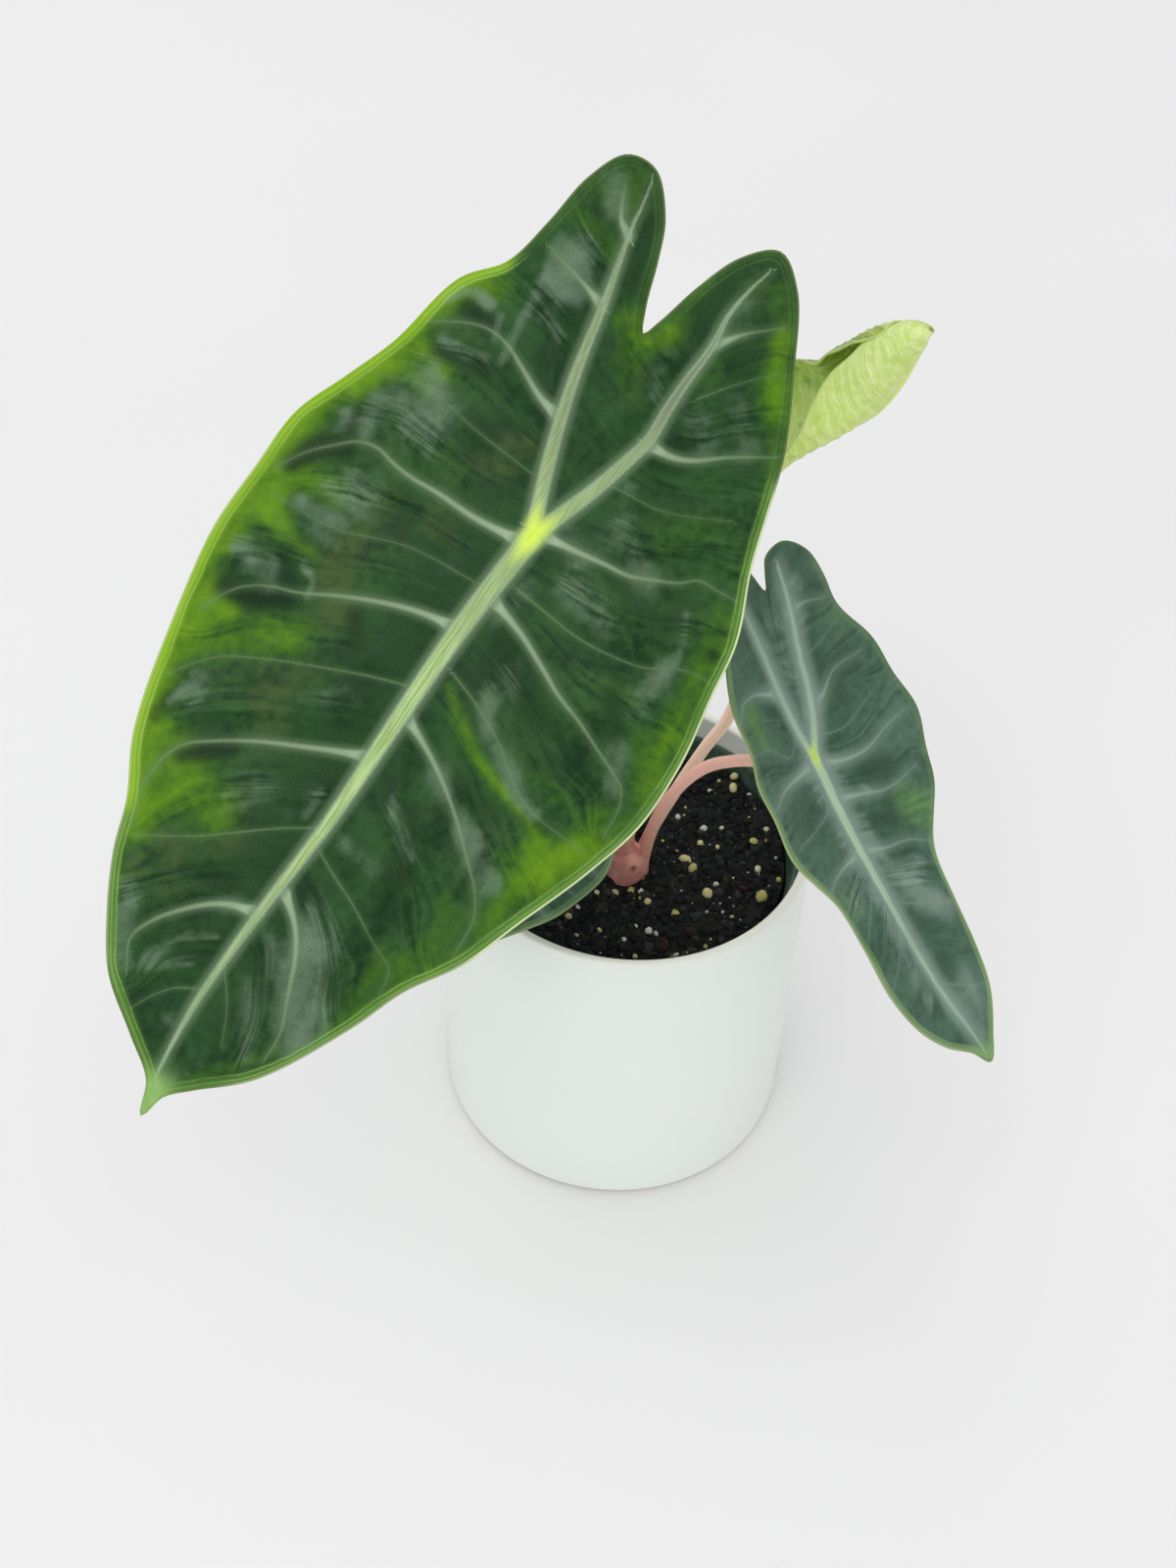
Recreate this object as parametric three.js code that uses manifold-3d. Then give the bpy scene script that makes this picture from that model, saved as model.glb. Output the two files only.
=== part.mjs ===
// A potted pink dragon alocasia: an arrow-leaved aroid with pink leaf stalks,
// growing in a thin nursery pot that stands in a straight white cover pot.
// Millimetres, +Z up, origin at the centre of the cover pot's underside.
// -Y is the front, the side that the large leaf leans over.

import * as THREE from "three";
import { mergeVertices } from "three/addons/utils/BufferGeometryUtils.js";
import Module from "manifold-3d";

const wasm = await Module();
wasm.setup();

// Driving dimensions

const coverPot = { radius: 60, height: 128, wall: 3, floor: 4, footInset: 2.5, segments: 48 };

const nurseryPot = {
  rimRadius: 56.2,
  footRadius: 46,
  height: 114.5,
  wall: 1.2,
  floor: 2,
  rimWidth: 2.2,
  rimDepth: 9,
  segments: 40,
  drainHoles: 6,
  drainRadius: 4,
  drainCircle: 31,
};

const soil = {
  level: 112,
  bump: 1,
  shoulder: 6, // the mix's side ends this far below its surface
  rings: 7,
  segments: 40,
  granules: 30,
  granuleSize: [1, 2.6],
};

// The plain hole in the soil that takes the foot of the plant
const plantHole = { x: -1.5, y: -3, radius: 10.4, depth: 14 };

const touch = 0.3; // the gap that parts in contact keep
const bladeThickness = 1.0;
const edgeThickness = 0.7;

// Where each blade joins its stalk, the compass heading and dip of its tip in
// degrees, and the roll of its face about the midrib. Heading 0 is +X, 90 is +Y.

const largeLeaf = {
  at: [-33.5, -67.5, 307.5],
  heading: -129,
  dip: 36.5,
  roll: 30,
  fold: 0,
  arch: 8,
  halfWidth: 68,
  reach: 175,
  tipDrop: 14,
  lobeReach: 100,
  lobeDrop: 7,
  quilt: 1.3,
  quiltWidth: 9,
  wave: 1.8,
  waves: 11,
  rings: [0.1, 0.3, 0.5, 0.7, 0.87, 1],
  steps: 2,
  // [along the midrib towards the tip, across to the right seen from the face]
  outline: [
    [-59, -5.5],
    [-65.5, -9],
    [-77, -13],
    [-87, -17.5],
    [-96, -26.5],
    [-95, -34.5],
    [-84.5, -39.5],
    [-69.5, -41.5],
    [-55, -44.5],
    [-44, -52],
    [-22, -57],
    [-7, -62],
    [8, -68],
    [26.5, -68.5],
    [46, -68.5],
    [71.5, -64],
    [98.5, -56.5],
    [114, -48.5],
    [127.5, -44],
    [143, -36],
    [155, -27.5],
    [165, -14],
    [172.5, -4],
    [181.5, 0],
    [174, 2],
    [168, 7.5],
    [156.5, 19.5],
    [132, 32.5],
    [116.5, 38.5],
    [101.5, 47.5],
    [84, 53.5],
    [62, 61.5],
    [46.5, 65.5],
    [27.5, 65],
    [8, 62],
    [-6, 59.5],
    [-24.5, 52],
    [-40.5, 46.5],
    [-57, 41],
    [-75.5, 31],
    [-91, 21],
    [-97, 12],
    [-90, 4.5],
    [-77, -0.5],
    [-64.5, -3.5],
  ],
  ribs: [
    { from: 6, to: 1.4, deep: 2.6, path: [[0, 0], [30, -2.5], [90, -3], [137, -4.5], [170, -2]] },
    { from: 4, to: 1.2, deep: 1.8, path: [[0, 0], [-26, -9.5], [-60, -18], [-91, -25.5]] },
    { from: 4, to: 1.2, deep: 1.8, path: [[0, 0], [-30, 9.5], [-66, 11], [-91, 12.5]] },
    { path: [[2, -1], [4.5, -26], [4.5, -47], [19, -62]] },
    { path: [[27, -3], [37, -25.5], [48, -47], [61, -58]] },
    { path: [[48, -3], [63.5, -37.5], [80, -56]] },
    { path: [[67, -3], [83, -29], [98, -46], [108, -47]] },
    { path: [[91, -3], [105.5, -20.5], [119, -40]] },
    { path: [[117, -4], [131.5, -22], [142, -27.5]] },
    { path: [[-1, 1], [-4.5, 19.5], [-12, 38], [-16, 50]] },
    { path: [[12, 4], [14, 33.5], [6, 56]] },
    { path: [[16, 2], [30, 28.5], [40.5, 55.5], [51, 58]] },
    { path: [[38, 2], [49, 23], [59.5, 53]] },
    { path: [[54, 0], [71, 24.5], [90.5, 43], [98, 43.5]] },
    { path: [[95, -1], [109, 23.5], [119, 32.5]] },
    { path: [[110, -2], [123.5, 10], [149, 18]] },
    { path: [[-28, -11], [-37, -33], [-33, -49]] },
    { path: [[-58, -18], [-63.5, -36]] },
    { path: [[-34, 10], [-39.5, 23.5], [-51, 38]] },
    { path: [[-64, 11.5], [-79, 22.5]] },
  ],
};

const rightLeaf = {
  at: [51.5, -35, 200.5],
  heading: -43,
  dip: 40.5,
  roll: 2,
  fold: 16,
  arch: 0,
  halfWidth: 34,
  reach: 105,
  tipDrop: 7,
  lobeReach: 60,
  lobeDrop: -20,
  quilt: 1,
  quiltWidth: 6,
  wave: 0.9,
  waves: 9,
  rings: [0.14, 0.42, 0.72, 1],
  steps: 2,
  outline: [
    [-51, 3.5],
    [-57.5, -0.5],
    [-64, -6],
    [-64.5, -12],
    [-58, -18],
    [-47, -21],
    [-33, -24],
    [-17.5, -25.5],
    [-4.5, -28],
    [8.5, -31],
    [19.5, -31],
    [30, -28],
    [41, -23.5],
    [55, -21.5],
    [72, -20.5],
    [86.5, -15.5],
    [97, -7.5],
    [104, 1],
    [110, 5.5],
    [102.5, 10],
    [90, 15.5],
    [76.5, 17.5],
    [60, 18.5],
    [45, 20],
    [34, 24.5],
    [22, 31],
    [7, 35],
    [-6, 35.5],
    [-22, 32],
    [-37, 25.5],
    [-46, 23],
    [-55.5, 18],
    [-61.5, 10],
    [-60, 5],
    [-56, 4.2],
  ],
  ribs: [
    { from: 3.4, to: 1.1, deep: 1.6, path: [[0, 0], [31, -2], [64, -1.5], [102, 4.5]] },
    { from: 2.6, to: 1, deep: 1.2, path: [[0, 0], [-17.5, -2], [-42, -7], [-58, -12]] },
    { from: 2.6, to: 1, deep: 1.2, path: [[0, 0], [-14, 5], [-37, 9.5], [-56, 9]] },
    { path: [[2, 0], [2, -16], [5, -27]] },
    { path: [[18, -1], [26, -16], [31, -24]] },
    { path: [[36, -2], [48, -12], [54, -18]] },
    { path: [[-20, -3], [-26, -19]] },
    { path: [[2, 1], [5, 20], [1, 32]] },
    { path: [[16, 0], [28, 14], [29, 24]] },
    { path: [[34, -1], [46, 9], [50, 16]] },
    { path: [[54, -1], [70, 12]] },
    { path: [[-13, 5], [-18, 18], [-18, 29]] },
    { path: [[-34, 9], [-42, 19]] },
  ],
};

const lowLeaf = {
  at: [-29, -22, 150],
  heading: -118,
  dip: 14,
  roll: 0,
  fold: 6,
  arch: 2,
  halfWidth: 28,
  reach: 60,
  tipDrop: 6,
  lobeReach: 28,
  lobeDrop: 2,
  quilt: 0.8,
  quiltWidth: 6,
  wave: 0.8,
  waves: 7,
  rings: [0.2, 0.6, 1],
  steps: 2,
  outline: [
    [-11, -0.5],
    [-18, -3.5],
    [-25, -8],
    [-26, -13.5],
    [-18, -18],
    [-8, -23],
    [5, -27],
    [18, -26],
    [32, -22],
    [44, -16],
    [52, -9],
    [60, -4],
    [53, 1],
    [44, 7],
    [34, 15],
    [24, 22.5],
    [12, 27],
    [2, 26.5],
    [-8, 22],
    [-16, 15.5],
    [-22, 11],
    [-22.5, 6.5],
    [-17, 2.5],
  ],
  ribs: [
    { from: 3, to: 1, deep: 1.4, path: [[0, 0], [28, -0.5], [54, -3.5]] },
    { from: 2.2, to: 1, deep: 1, path: [[0, 0], [-12, -5], [-22, -10.5]] },
    { from: 2.2, to: 1, deep: 1, path: [[0, 0], [-11, 4], [-20, 8.5]] },
    { path: [[1, 0], [6, -13], [8, -23]] },
    { path: [[18, 0], [26, -11], [30, -19]] },
    { path: [[1, 0], [6, 13], [8, 23]] },
    { path: [[18, 0], [25, 10], [28, 17]] },
  ],
};

// The young leaf is still rolled. Each half wraps up and over from the midrib,
// tight towards the tip and open towards the stalk.
const rolledLeaf = {
  at: [24.4, 5.8, 263.2],
  heading: -28.6,
  dip: -60.5,
  turn: 7, // degrees that the midrib lies behind the roll's lowest line
  belly: { depth: 7.3, at: 61, towardsStalk: 21, towardsTip: 31 },
  taper: { from: 60, over: 34, power: 1.6, share: 0.8 },
  near: { side: -1, openRadius: 32, tightRadius: 9.3, openTo: 34, tightFrom: 67 },
  far: { side: 1, openRadius: 17, tightRadius: 10.8, openTo: 34, tightFrom: 58 },
  columns: 8,
  // [along the midrib towards the tip, inner edge, near margin, far margin]
  sections: [
    [-30, 9, 14, 14],
    [-28, 6.5, 17.5, 18],
    [-22, 3.5, 22, 23],
    [-13, 1.2, 26, 27.5],
    [-4, -0.5, 28, 30],
    [6, -0.5, 29, 32],
    [16, -0.5, 29.5, 32.5],
    [27, -0.5, 29.5, 32],
    [38, -0.5, 29, 31.5],
    [46, -0.5, 28, 30.5],
    [53, -0.5, 26.5, 30],
    [59, -0.5, 25.5, 30.5],
    [65, -0.5, 24.5, 31],
    [71, -0.5, 22.5, 29],
    [77, -0.5, 19.5, 26],
    [82, -0.5, 16.5, 22.5],
    [86.5, -0.5, 13, 18],
    [90, -0.5, 9, 11],
    [92, -0.5, 4, 5],
  ],
  midrib: { from: 3, to: 1.9, end: 88 },
  // [along, distance from the midrib] on both halves
  veins: [
    [[-3, 2], [-12, 8], [-24, 11]],
    [[4, 0], [12, 12], [18, 25]],
    [[22, 0], [30, 12], [36, 25]],
    [[40, 0], [48, 12], [51, 23]],
    [[56, 0], [62, 10], [65, 20]],
    [[70, 0], [75, 8], [77, 16]],
  ],
};

// Stalks run from the crown to their blades. Their points are at the stalk's middle.
const stalks = {
  large: {
    radius: [4, 2.9],
    sheath: 6.8,
    sheathEnd: 0.12,
    path: [
      [-2.4, -4, 100],
      [-2.4, -6.2, 116],
      [-2.6, -8.2, 136],
      [-4, -14, 168],
      [-12, -33, 230],
      [-26, -57, 284],
      [-33, -66.3, 305],
    ],
  },
  right: {
    radius: [2.8, 2.2],
    sheath: 4.6,
    sheathEnd: 0.17,
    path: [
      [2, -2, 100],
      [3.6, -3, 118],
      [9, -5, 140],
      [14, -7.5, 157],
      [20, -13.5, 173],
      [29, -21.5, 184],
      [40, -30, 193],
      [50.3, -34.2, 198.8],
    ],
  },
  rolled: {
    radius: [2.3, 1.8],
    sheath: 3.8,
    sheathEnd: 0.14,
    path: [
      [1, 1.6, 100],
      [3.6, 4, 120],
      [11.5, 6.3, 140],
      [21, 7, 159],
      [28, 6, 175],
      [30, 5.2, 193],
      [29, 5, 214],
      [26.6, 5, 236],
      [24.5, 5.5, 257],
    ],
  },
  low: {
    radius: [2.2, 1.7],
    sheath: 3.8,
    sheathEnd: 0.3,
    path: [[-5, -1.5, 100], [-7.5, -2.5, 118], [-16, -10, 135], [-28, -21.3, 148.4]],
  },
};

// General helpers

const radians = THREE.MathUtils.degToRad;

function closedMesh(points, faces) {
  const geometry = new THREE.BufferGeometry();
  const positions = points.flatMap((p) => p.toArray());
  geometry.setAttribute("position", new THREE.Float32BufferAttribute(positions, 3));
  geometry.setIndex(faces.flat());
  return geometry;
}

function toSolid(geometry) {
  const bare = geometry.clone();
  bare.deleteAttribute("normal");
  bare.deleteAttribute("uv");
  const merged = mergeVertices(bare, 1e-4);
  return new wasm.Manifold(
    new wasm.Mesh({
      numProp: 3,
      vertProperties: new Float32Array(merged.attributes.position.array),
      triVerts: new Uint32Array(merged.index.array),
    }),
  );
}

function toGeometry(solid) {
  const mesh = solid.getMesh();
  const geometry = new THREE.BufferGeometry();
  geometry.setAttribute("position", new THREE.Float32BufferAttribute(mesh.vertProperties, 3));
  geometry.setIndex(new THREE.Uint32BufferAttribute(mesh.triVerts, 1));
  geometry.computeVertexNormals();
  return geometry;
}

function turned(profile, segments) {
  const points = profile.map(([r, z]) => new THREE.Vector2(r, z));
  return new THREE.LatheGeometry(points, segments).rotateX(Math.PI / 2);
}

// Joins rings of equal length into a closed skin with a fan over each end.
function skin(rings) {
  const sides = rings[0].length;
  const points = rings.flat();
  const faces = [];
  for (let i = 0; i + 1 < rings.length; i += 1) {
    for (let k = 0; k < sides; k += 1) {
      const a = i * sides + k;
      const b = i * sides + ((k + 1) % sides);
      faces.push([a, b, b + sides], [a, b + sides, a + sides]);
    }
  }
  const last = (rings.length - 1) * sides;
  for (let k = 1; k + 1 < sides; k += 1) {
    faces.push([0, k + 1, k], [last, last + k, last + k + 1]);
  }
  return closedMesh(points, faces);
}

// A round stalk along a curve, its radius given at each fraction of the way.
function sweptStalk(curve, radiusAt, from, to, steps, sides) {
  const rings = [];
  let normal = new THREE.Vector3(1, 0, 0);
  for (let i = 0; i <= steps; i += 1) {
    const t = from + ((to - from) * i) / steps;
    const centre = curve.getPointAt(t);
    const ahead = curve.getTangentAt(t);
    normal = normal.clone().addScaledVector(ahead, -normal.dot(ahead)).normalize();
    const across = ahead.clone().cross(normal);
    const radius = radiusAt(t);
    const ring = [];
    for (let k = 0; k < sides; k += 1) {
      const angle = (2 * Math.PI * k) / sides;
      ring.push(
        centre
          .clone()
          .addScaledVector(normal, radius * Math.cos(angle))
          .addScaledVector(across, radius * Math.sin(angle)),
      );
    }
    rings.push(ring);
  }
  return skin(rings);
}

// Leaf blades

function leafFrame(leaf) {
  const heading = radians(leaf.heading);
  const dip = radians(leaf.dip);
  const tip = new THREE.Vector3(
    Math.cos(dip) * Math.cos(heading),
    Math.cos(dip) * Math.sin(heading),
    -Math.sin(dip),
  );
  const upright = new THREE.Vector3(0, 0, 1).addScaledVector(tip, -tip.z).normalize();
  const level = upright.clone().cross(tip);
  const roll = radians(leaf.roll ?? 0);
  const face = upright.multiplyScalar(Math.cos(roll)).addScaledVector(level, Math.sin(roll));
  const side = face.clone().cross(tip);
  return { at: new THREE.Vector3(...leaf.at), tip, side, face };
}

function placed(frame, along, across, out) {
  return frame.at
    .clone()
    .addScaledVector(frame.tip, along)
    .addScaledVector(frame.side, across)
    .addScaledVector(frame.face, out);
}

function smoothPath(points, closed = false) {
  const corners = points.map(([x, y, z = 0]) => new THREE.Vector3(x, y, z));
  return new THREE.CatmullRomCurve3(corners, closed, "centripetal");
}

function distanceToPath(path, x, y) {
  let nearest = Infinity;
  for (let i = 0; i + 1 < path.length; i += 1) {
    const [ax, ay] = path[i];
    const [bx, by] = path[i + 1];
    const length2 = (bx - ax) ** 2 + (by - ay) ** 2;
    const t = THREE.MathUtils.clamp(((x - ax) * (bx - ax) + (y - ay) * (by - ay)) / length2, 0, 1);
    nearest = Math.min(nearest, Math.hypot(x - ax - t * (bx - ax), y - ay - t * (by - ay)));
  }
  return nearest;
}

// Height of the blade's middle surface over its flat frame: the fold and arch
// across it, the droop of the tip and lobes, the quilted bulges between the
// ribs and the waves that grow towards the margin.
function bladeHeight(leaf, along, across, outward) {
  const foldSoftness = 3;
  const fold = Math.tan(radians(leaf.fold)) * (Math.hypot(across, foldSoftness) - foldSoftness);
  const arch = leaf.arch * (across / leaf.halfWidth) ** 2;
  const [end, limit] = along > 0 ? [leaf.tipDrop, leaf.reach] : [leaf.lobeDrop, leaf.lobeReach];
  const drop = end * (along / limit) ** 2;
  const rib = Math.min(...leaf.ribs.map((r) => distanceToPath(r.path, along, across)));
  const bulge = 1 - Math.exp(-((rib / leaf.quiltWidth) ** 2));
  const flatCentre = THREE.MathUtils.smoothstep(outward, 0, 0.45);
  const quilt = leaf.quilt * bulge * flatCentre * (1 - outward ** 6);
  const wave = leaf.wave * outward ** 3 * Math.sin(leaf.waves * Math.atan2(across, along) + 1);
  return fold - arch - drop + quilt + wave;
}

// The blade's grid has a spoke to each point of the outline, and rings at
// fixed fractions of every spoke. Ring 0 is the single point at the stalk.
function bladeGrid(leaf) {
  const edge = smoothPath(leaf.outline, true).getPoints(leaf.outline.length * leaf.steps).slice(0, -1);
  const centre = { along: 0, across: 0, height: bladeHeight(leaf, 0, 0, 0) };
  const rings = leaf.rings.map((outward) =>
    edge.map((p) => ({
      along: p.x * outward,
      across: p.y * outward,
      height: bladeHeight(leaf, p.x * outward, p.y * outward, outward),
    })),
  );
  return { edge, centre, rings };
}

// Height of the faceted blade at any point, so that ribs lie on its facets.
function heightOnGrid(leaf, grid, along, across) {
  const count = grid.edge.length;
  for (let i = 0; i < count; i += 1) {
    const a = grid.edge[i];
    const b = grid.edge[(i + 1) % count];
    const area = a.x * b.y - a.y * b.x;
    const toA = (along * b.y - across * b.x) / area;
    const toB = (a.x * across - a.y * along) / area;
    const outward = toA + toB;
    if (toA >= -1e-9 && toB >= -1e-9 && outward <= 1) {
      const turn = outward > 0 ? toB / outward : 0;
      const ring = leaf.rings.findIndex((limit) => outward <= limit);
      const inner = ring === 0 ? 0 : leaf.rings[ring - 1];
      const part = (outward - inner) / (leaf.rings[ring] - inner);
      const level = (r) =>
        r < 0
          ? grid.centre.height
          : grid.rings[r][i].height * (1 - turn) + grid.rings[r][(i + 1) % count].height * turn;
      return level(ring - 1) * (1 - part) + level(ring) * part;
    }
  }
  throw new Error(`rib point ${along}, ${across} is outside its blade`);
}

function bladeSheet(leaf, frame, grid) {
  const count = grid.edge.length;
  const points = [];
  const faces = [];
  const half = (r) => (r === leaf.rings.length - 1 ? edgeThickness : bladeThickness) / 2;
  const layer = (sign) => {
    const first = points.length;
    points.push(placed(frame, 0, 0, grid.centre.height + (sign * bladeThickness) / 2));
    grid.rings.forEach((ring, r) =>
      ring.forEach((p) => points.push(placed(frame, p.along, p.across, p.height + sign * half(r)))),
    );
    return first;
  };
  const top = layer(1);
  const under = layer(-1);
  const add = (a, b, c) => {
    faces.push([top + a, top + b, top + c], [under + a, under + c, under + b]);
  };
  for (let i = 0; i < count; i += 1) {
    const j = (i + 1) % count;
    add(0, 1 + i, 1 + j);
    for (let r = 0; r + 1 < leaf.rings.length; r += 1) {
      const inner = 1 + r * count;
      const outer = inner + count;
      add(inner + i, outer + i, outer + j);
      add(inner + i, outer + j, inner + j);
    }
    const rim = 1 + (leaf.rings.length - 1) * count;
    faces.push([top + rim + i, under + rim + i, under + rim + j]);
    faces.push([top + rim + i, under + rim + j, top + rim + j]);
  }
  return closedMesh(points, faces);
}

// A rib is a tapering ridge with a flat crest, sunk into the blade's underside.
const ribDefaults = { from: 2, to: 0.9, deep: 1, shallow: 0.5, sunk: 0.35, crest: 0.5, step: 15 };

function ribSolid(rib, placeUnder) {
  const { path, from, to, deep, shallow, sunk, crest, step } = { ...ribDefaults, ...rib };
  const curve = smoothPath(path);
  const steps = Math.max(2, Math.round(curve.getLength() / step));
  const rings = [];
  for (let i = 0; i <= steps; i += 1) {
    const t = i / steps;
    const p = curve.getPointAt(t);
    const tangent = curve.getTangentAt(t);
    const half = THREE.MathUtils.lerp(from, to, t) / 2;
    const depth = THREE.MathUtils.lerp(deep, shallow, t);
    const corner = (offset, down) => placeUnder(p, -tangent.y * offset, tangent.x * offset, down);
    rings.push([
      corner(-half, -sunk),
      corner(-half * crest, depth),
      corner(half * crest, depth),
      corner(half, -sunk),
    ]);
  }
  return toSolid(skin(rings));
}

function bladeSolid(leaf, stalkTop) {
  const frame = leafFrame(leaf);
  const grid = bladeGrid(leaf);
  const placeUnder = (p, offAlong, offAcross, down) => {
    const under = heightOnGrid(leaf, grid, p.x, p.y) - bladeThickness / 2;
    return placed(frame, p.x + offAlong, p.y + offAcross, under - down);
  };
  const ribs = leaf.ribs.map((rib) => ribSolid(rib, placeUnder));
  const sheet = toSolid(bladeSheet(leaf, frame, grid));
  return ribs.reduce((sum, rib) => sum.add(rib), sheet).subtract(stalkTop);
}

// Pots

function coverPotGeometry() {
  const { radius, height, wall, floor, footInset, segments } = coverPot;
  const inner = radius - wall;
  const lip = wall / 2; // the rim is a half round
  const lipSide = lip * 0.3;
  const footRound = footInset / 4;
  const floorRound = 4;
  return turned(
    [
      [0, 0],
      [radius - footInset, 0],
      [radius - footRound, footRound * 1.5],
      [radius, footInset + footRound],
      [radius, height - lip],
      [radius - lipSide, height - lipSide],
      [radius - lip, height],
      [inner + lipSide, height - lipSide],
      [inner, height - lip],
      [inner, floor + floorRound],
      [inner - floorRound, floor],
      [0, floor],
    ],
    segments,
  );
}

const nurseryFoot = coverPot.floor + touch;

function nurseryPotSolid() {
  const { rimRadius, footRadius, height, wall, floor, rimWidth, rimDepth, segments } = nurseryPot;
  const top = nurseryFoot + height;
  const skirt = top - rimDepth;
  const below = rimRadius - rimWidth;
  const round = 0.5;
  const pot = toSolid(
    turned(
      [
        [0, nurseryFoot],
        [footRadius, nurseryFoot],
        [below, skirt],
        [rimRadius, skirt + round],
        [rimRadius, top - round],
        [rimRadius - round, top],
        [rimRadius - wall - round, top],
        [below - wall, skirt],
        [footRadius - wall, nurseryFoot + floor],
        [0, nurseryFoot + floor],
      ],
      segments,
    ),
  );
  const { drainHoles, drainRadius, drainCircle } = nurseryPot;
  let drained = pot;
  for (let i = 0; i < drainHoles; i += 1) {
    const angle = (2 * Math.PI * i) / drainHoles;
    const hole = new THREE.CylinderGeometry(drainRadius, drainRadius, floor * 3, 12)
      .rotateX(Math.PI / 2)
      .translate(drainCircle * Math.cos(angle), drainCircle * Math.sin(angle), nurseryFoot + floor / 2);
    drained = drained.subtract(toSolid(hole));
  }
  return drained;
}

// Soil: its side follows the nursery pot's wall, its top is lumpy, with small
// granules fused on, and a plain hole takes the foot of the plant.

function seededRandom(seed) {
  let state = seed;
  return () => {
    state = (state * 1664525 + 1013904223) % 4294967296;
    return state / 4294967296;
  };
}

function soilHeight(x, y) {
  const broad = Math.sin(0.21 * x + 0.7) * Math.cos(0.17 * y - 0.4);
  const narrow = Math.sin(0.34 * x - 0.29 * y);
  return soil.level + soil.bump * (broad + 0.6 * narrow);
}

function soilSolid() {
  const { footRadius, rimRadius, rimWidth, wall, floor, rimDepth, height } = nurseryPot;
  const base = nurseryFoot + floor + touch;
  const side = soil.level - soil.shoulder;
  const slope = (rimRadius - rimWidth - footRadius) / (height - rimDepth);
  const wallInside = (z) => footRadius - wall + slope * (z - nurseryFoot - floor);
  const foot = wallInside(base) - touch;
  const shoulder = wallInside(side) - touch;
  const points = [new THREE.Vector3(0, 0, base)];
  const faces = [];
  const loop = (radius, levelAt) => {
    const first = points.length;
    for (let k = 0; k < soil.segments; k += 1) {
      const angle = (2 * Math.PI * k) / soil.segments;
      const x = radius * Math.cos(angle);
      const y = radius * Math.sin(angle);
      points.push(new THREE.Vector3(x, y, levelAt(x, y)));
    }
    return first;
  };
  const loops = [loop(foot, () => base), loop(shoulder, () => side)];
  for (let i = soil.rings; i > 0; i -= 1) {
    loops.push(loop((shoulder * i) / soil.rings, soilHeight));
  }
  points.push(new THREE.Vector3(0, 0, soilHeight(0, 0)));
  const middle = points.length - 1;
  for (let k = 0; k < soil.segments; k += 1) {
    const next = (k + 1) % soil.segments;
    faces.push([0, loops[0] + next, loops[0] + k]);
    faces.push([middle, loops.at(-1) + k, loops.at(-1) + next]);
    for (let i = 0; i + 1 < loops.length; i += 1) {
      const a = loops[i];
      const b = loops[i + 1];
      faces.push([a + k, a + next, b + next], [a + k, b + next, b + k]);
    }
  }
  const random = seededRandom(7);
  const clear = plantHole.radius + 6;
  const [small, large] = soil.granuleSize;
  let body = toSolid(closedMesh(points, faces));
  for (let i = 0; i < soil.granules; i += 1) {
    const angle = 2 * Math.PI * random();
    const reach = clear + (shoulder - large - clear) * Math.sqrt(random());
    const size = THREE.MathUtils.lerp(small, large, random());
    const x = reach * Math.cos(angle);
    const y = reach * Math.sin(angle);
    const granule = new THREE.OctahedronGeometry(size, 0)
      .rotateX(Math.PI * random())
      .rotateY(Math.PI * random())
      .translate(x, y, soilHeight(x, y));
    body = body.add(toSolid(granule));
  }
  const hole = new THREE.CylinderGeometry(plantHole.radius, plantHole.radius, plantHole.depth * 2, 20)
    .rotateX(Math.PI / 2)
    .translate(plantHole.x, plantHole.y, soil.level);
  return body.subtract(toSolid(hole));
}

// The crown: the stalks' broad sheaths, grown together at the foot of the plant

const stalkCurves = {};
for (const [name, stalk] of Object.entries(stalks)) {
  stalkCurves[name] = smoothPath(stalk.path);
}

function stalkRadius(stalk) {
  const [foot, top] = stalk.radius;
  return (t) => {
    const thin = THREE.MathUtils.lerp(foot, top, t);
    const swell = THREE.MathUtils.smoothstep(stalk.sheathEnd - t, 0, stalk.sheathEnd);
    return thin + (stalk.sheath - foot) * swell;
  };
}

function stalkGeometry(name) {
  const stalk = stalks[name];
  const curve = stalkCurves[name];
  const start = stalk.sheathEnd + touch / curve.getLength();
  const steps = Math.round(curve.getLength() / 11);
  return sweptStalk(curve, stalkRadius(stalk), start, 1, steps, 8);
}

// What a stalk's end takes out of the ribs around it: the stalk, a touch larger.
function stalkSocket(name) {
  const curve = stalkCurves[name];
  const end = curve.getPointAt(1).addScaledVector(curve.getTangentAt(1), touch);
  const path = smoothPath([...[0.85, 0.9, 0.95].map((t) => curve.getPointAt(t).toArray()), end.toArray()]);
  const taperAllowance = 1.06;
  return toSolid(sweptStalk(path, () => stalks[name].radius[1] * taperAllowance + touch, 0, 1, 4, 8));
}

function crownSolid() {
  const { x, y, radius, depth } = plantHole;
  const plug = depth / 2;
  const root = new THREE.CylinderGeometry(radius - touch, radius * 0.7, plug, 16)
    .rotateX(Math.PI / 2)
    .translate(x, y, soil.level - depth + touch + plug / 2);
  const sheaths = Object.entries(stalks).map(([name, stalk]) =>
    toSolid(sweptStalk(stalkCurves[name], stalkRadius(stalk), 0, stalk.sheathEnd, 5, 10)),
  );
  return sheaths.reduce((sum, sheath) => sum.add(sheath), toSolid(root));
}

// The rolled leaf

function rollRadius(leaf, half, along) {
  const { from, over, power, share } = leaf.taper;
  const past = THREE.MathUtils.clamp((along - from) / over, 0, 1);
  const tight = half.tightRadius * (1 - share * past ** power);
  const closed = THREE.MathUtils.smoothstep(along, half.openTo, half.tightFrom);
  return tight + (half.openRadius - half.tightRadius) * (1 - closed);
}

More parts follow.
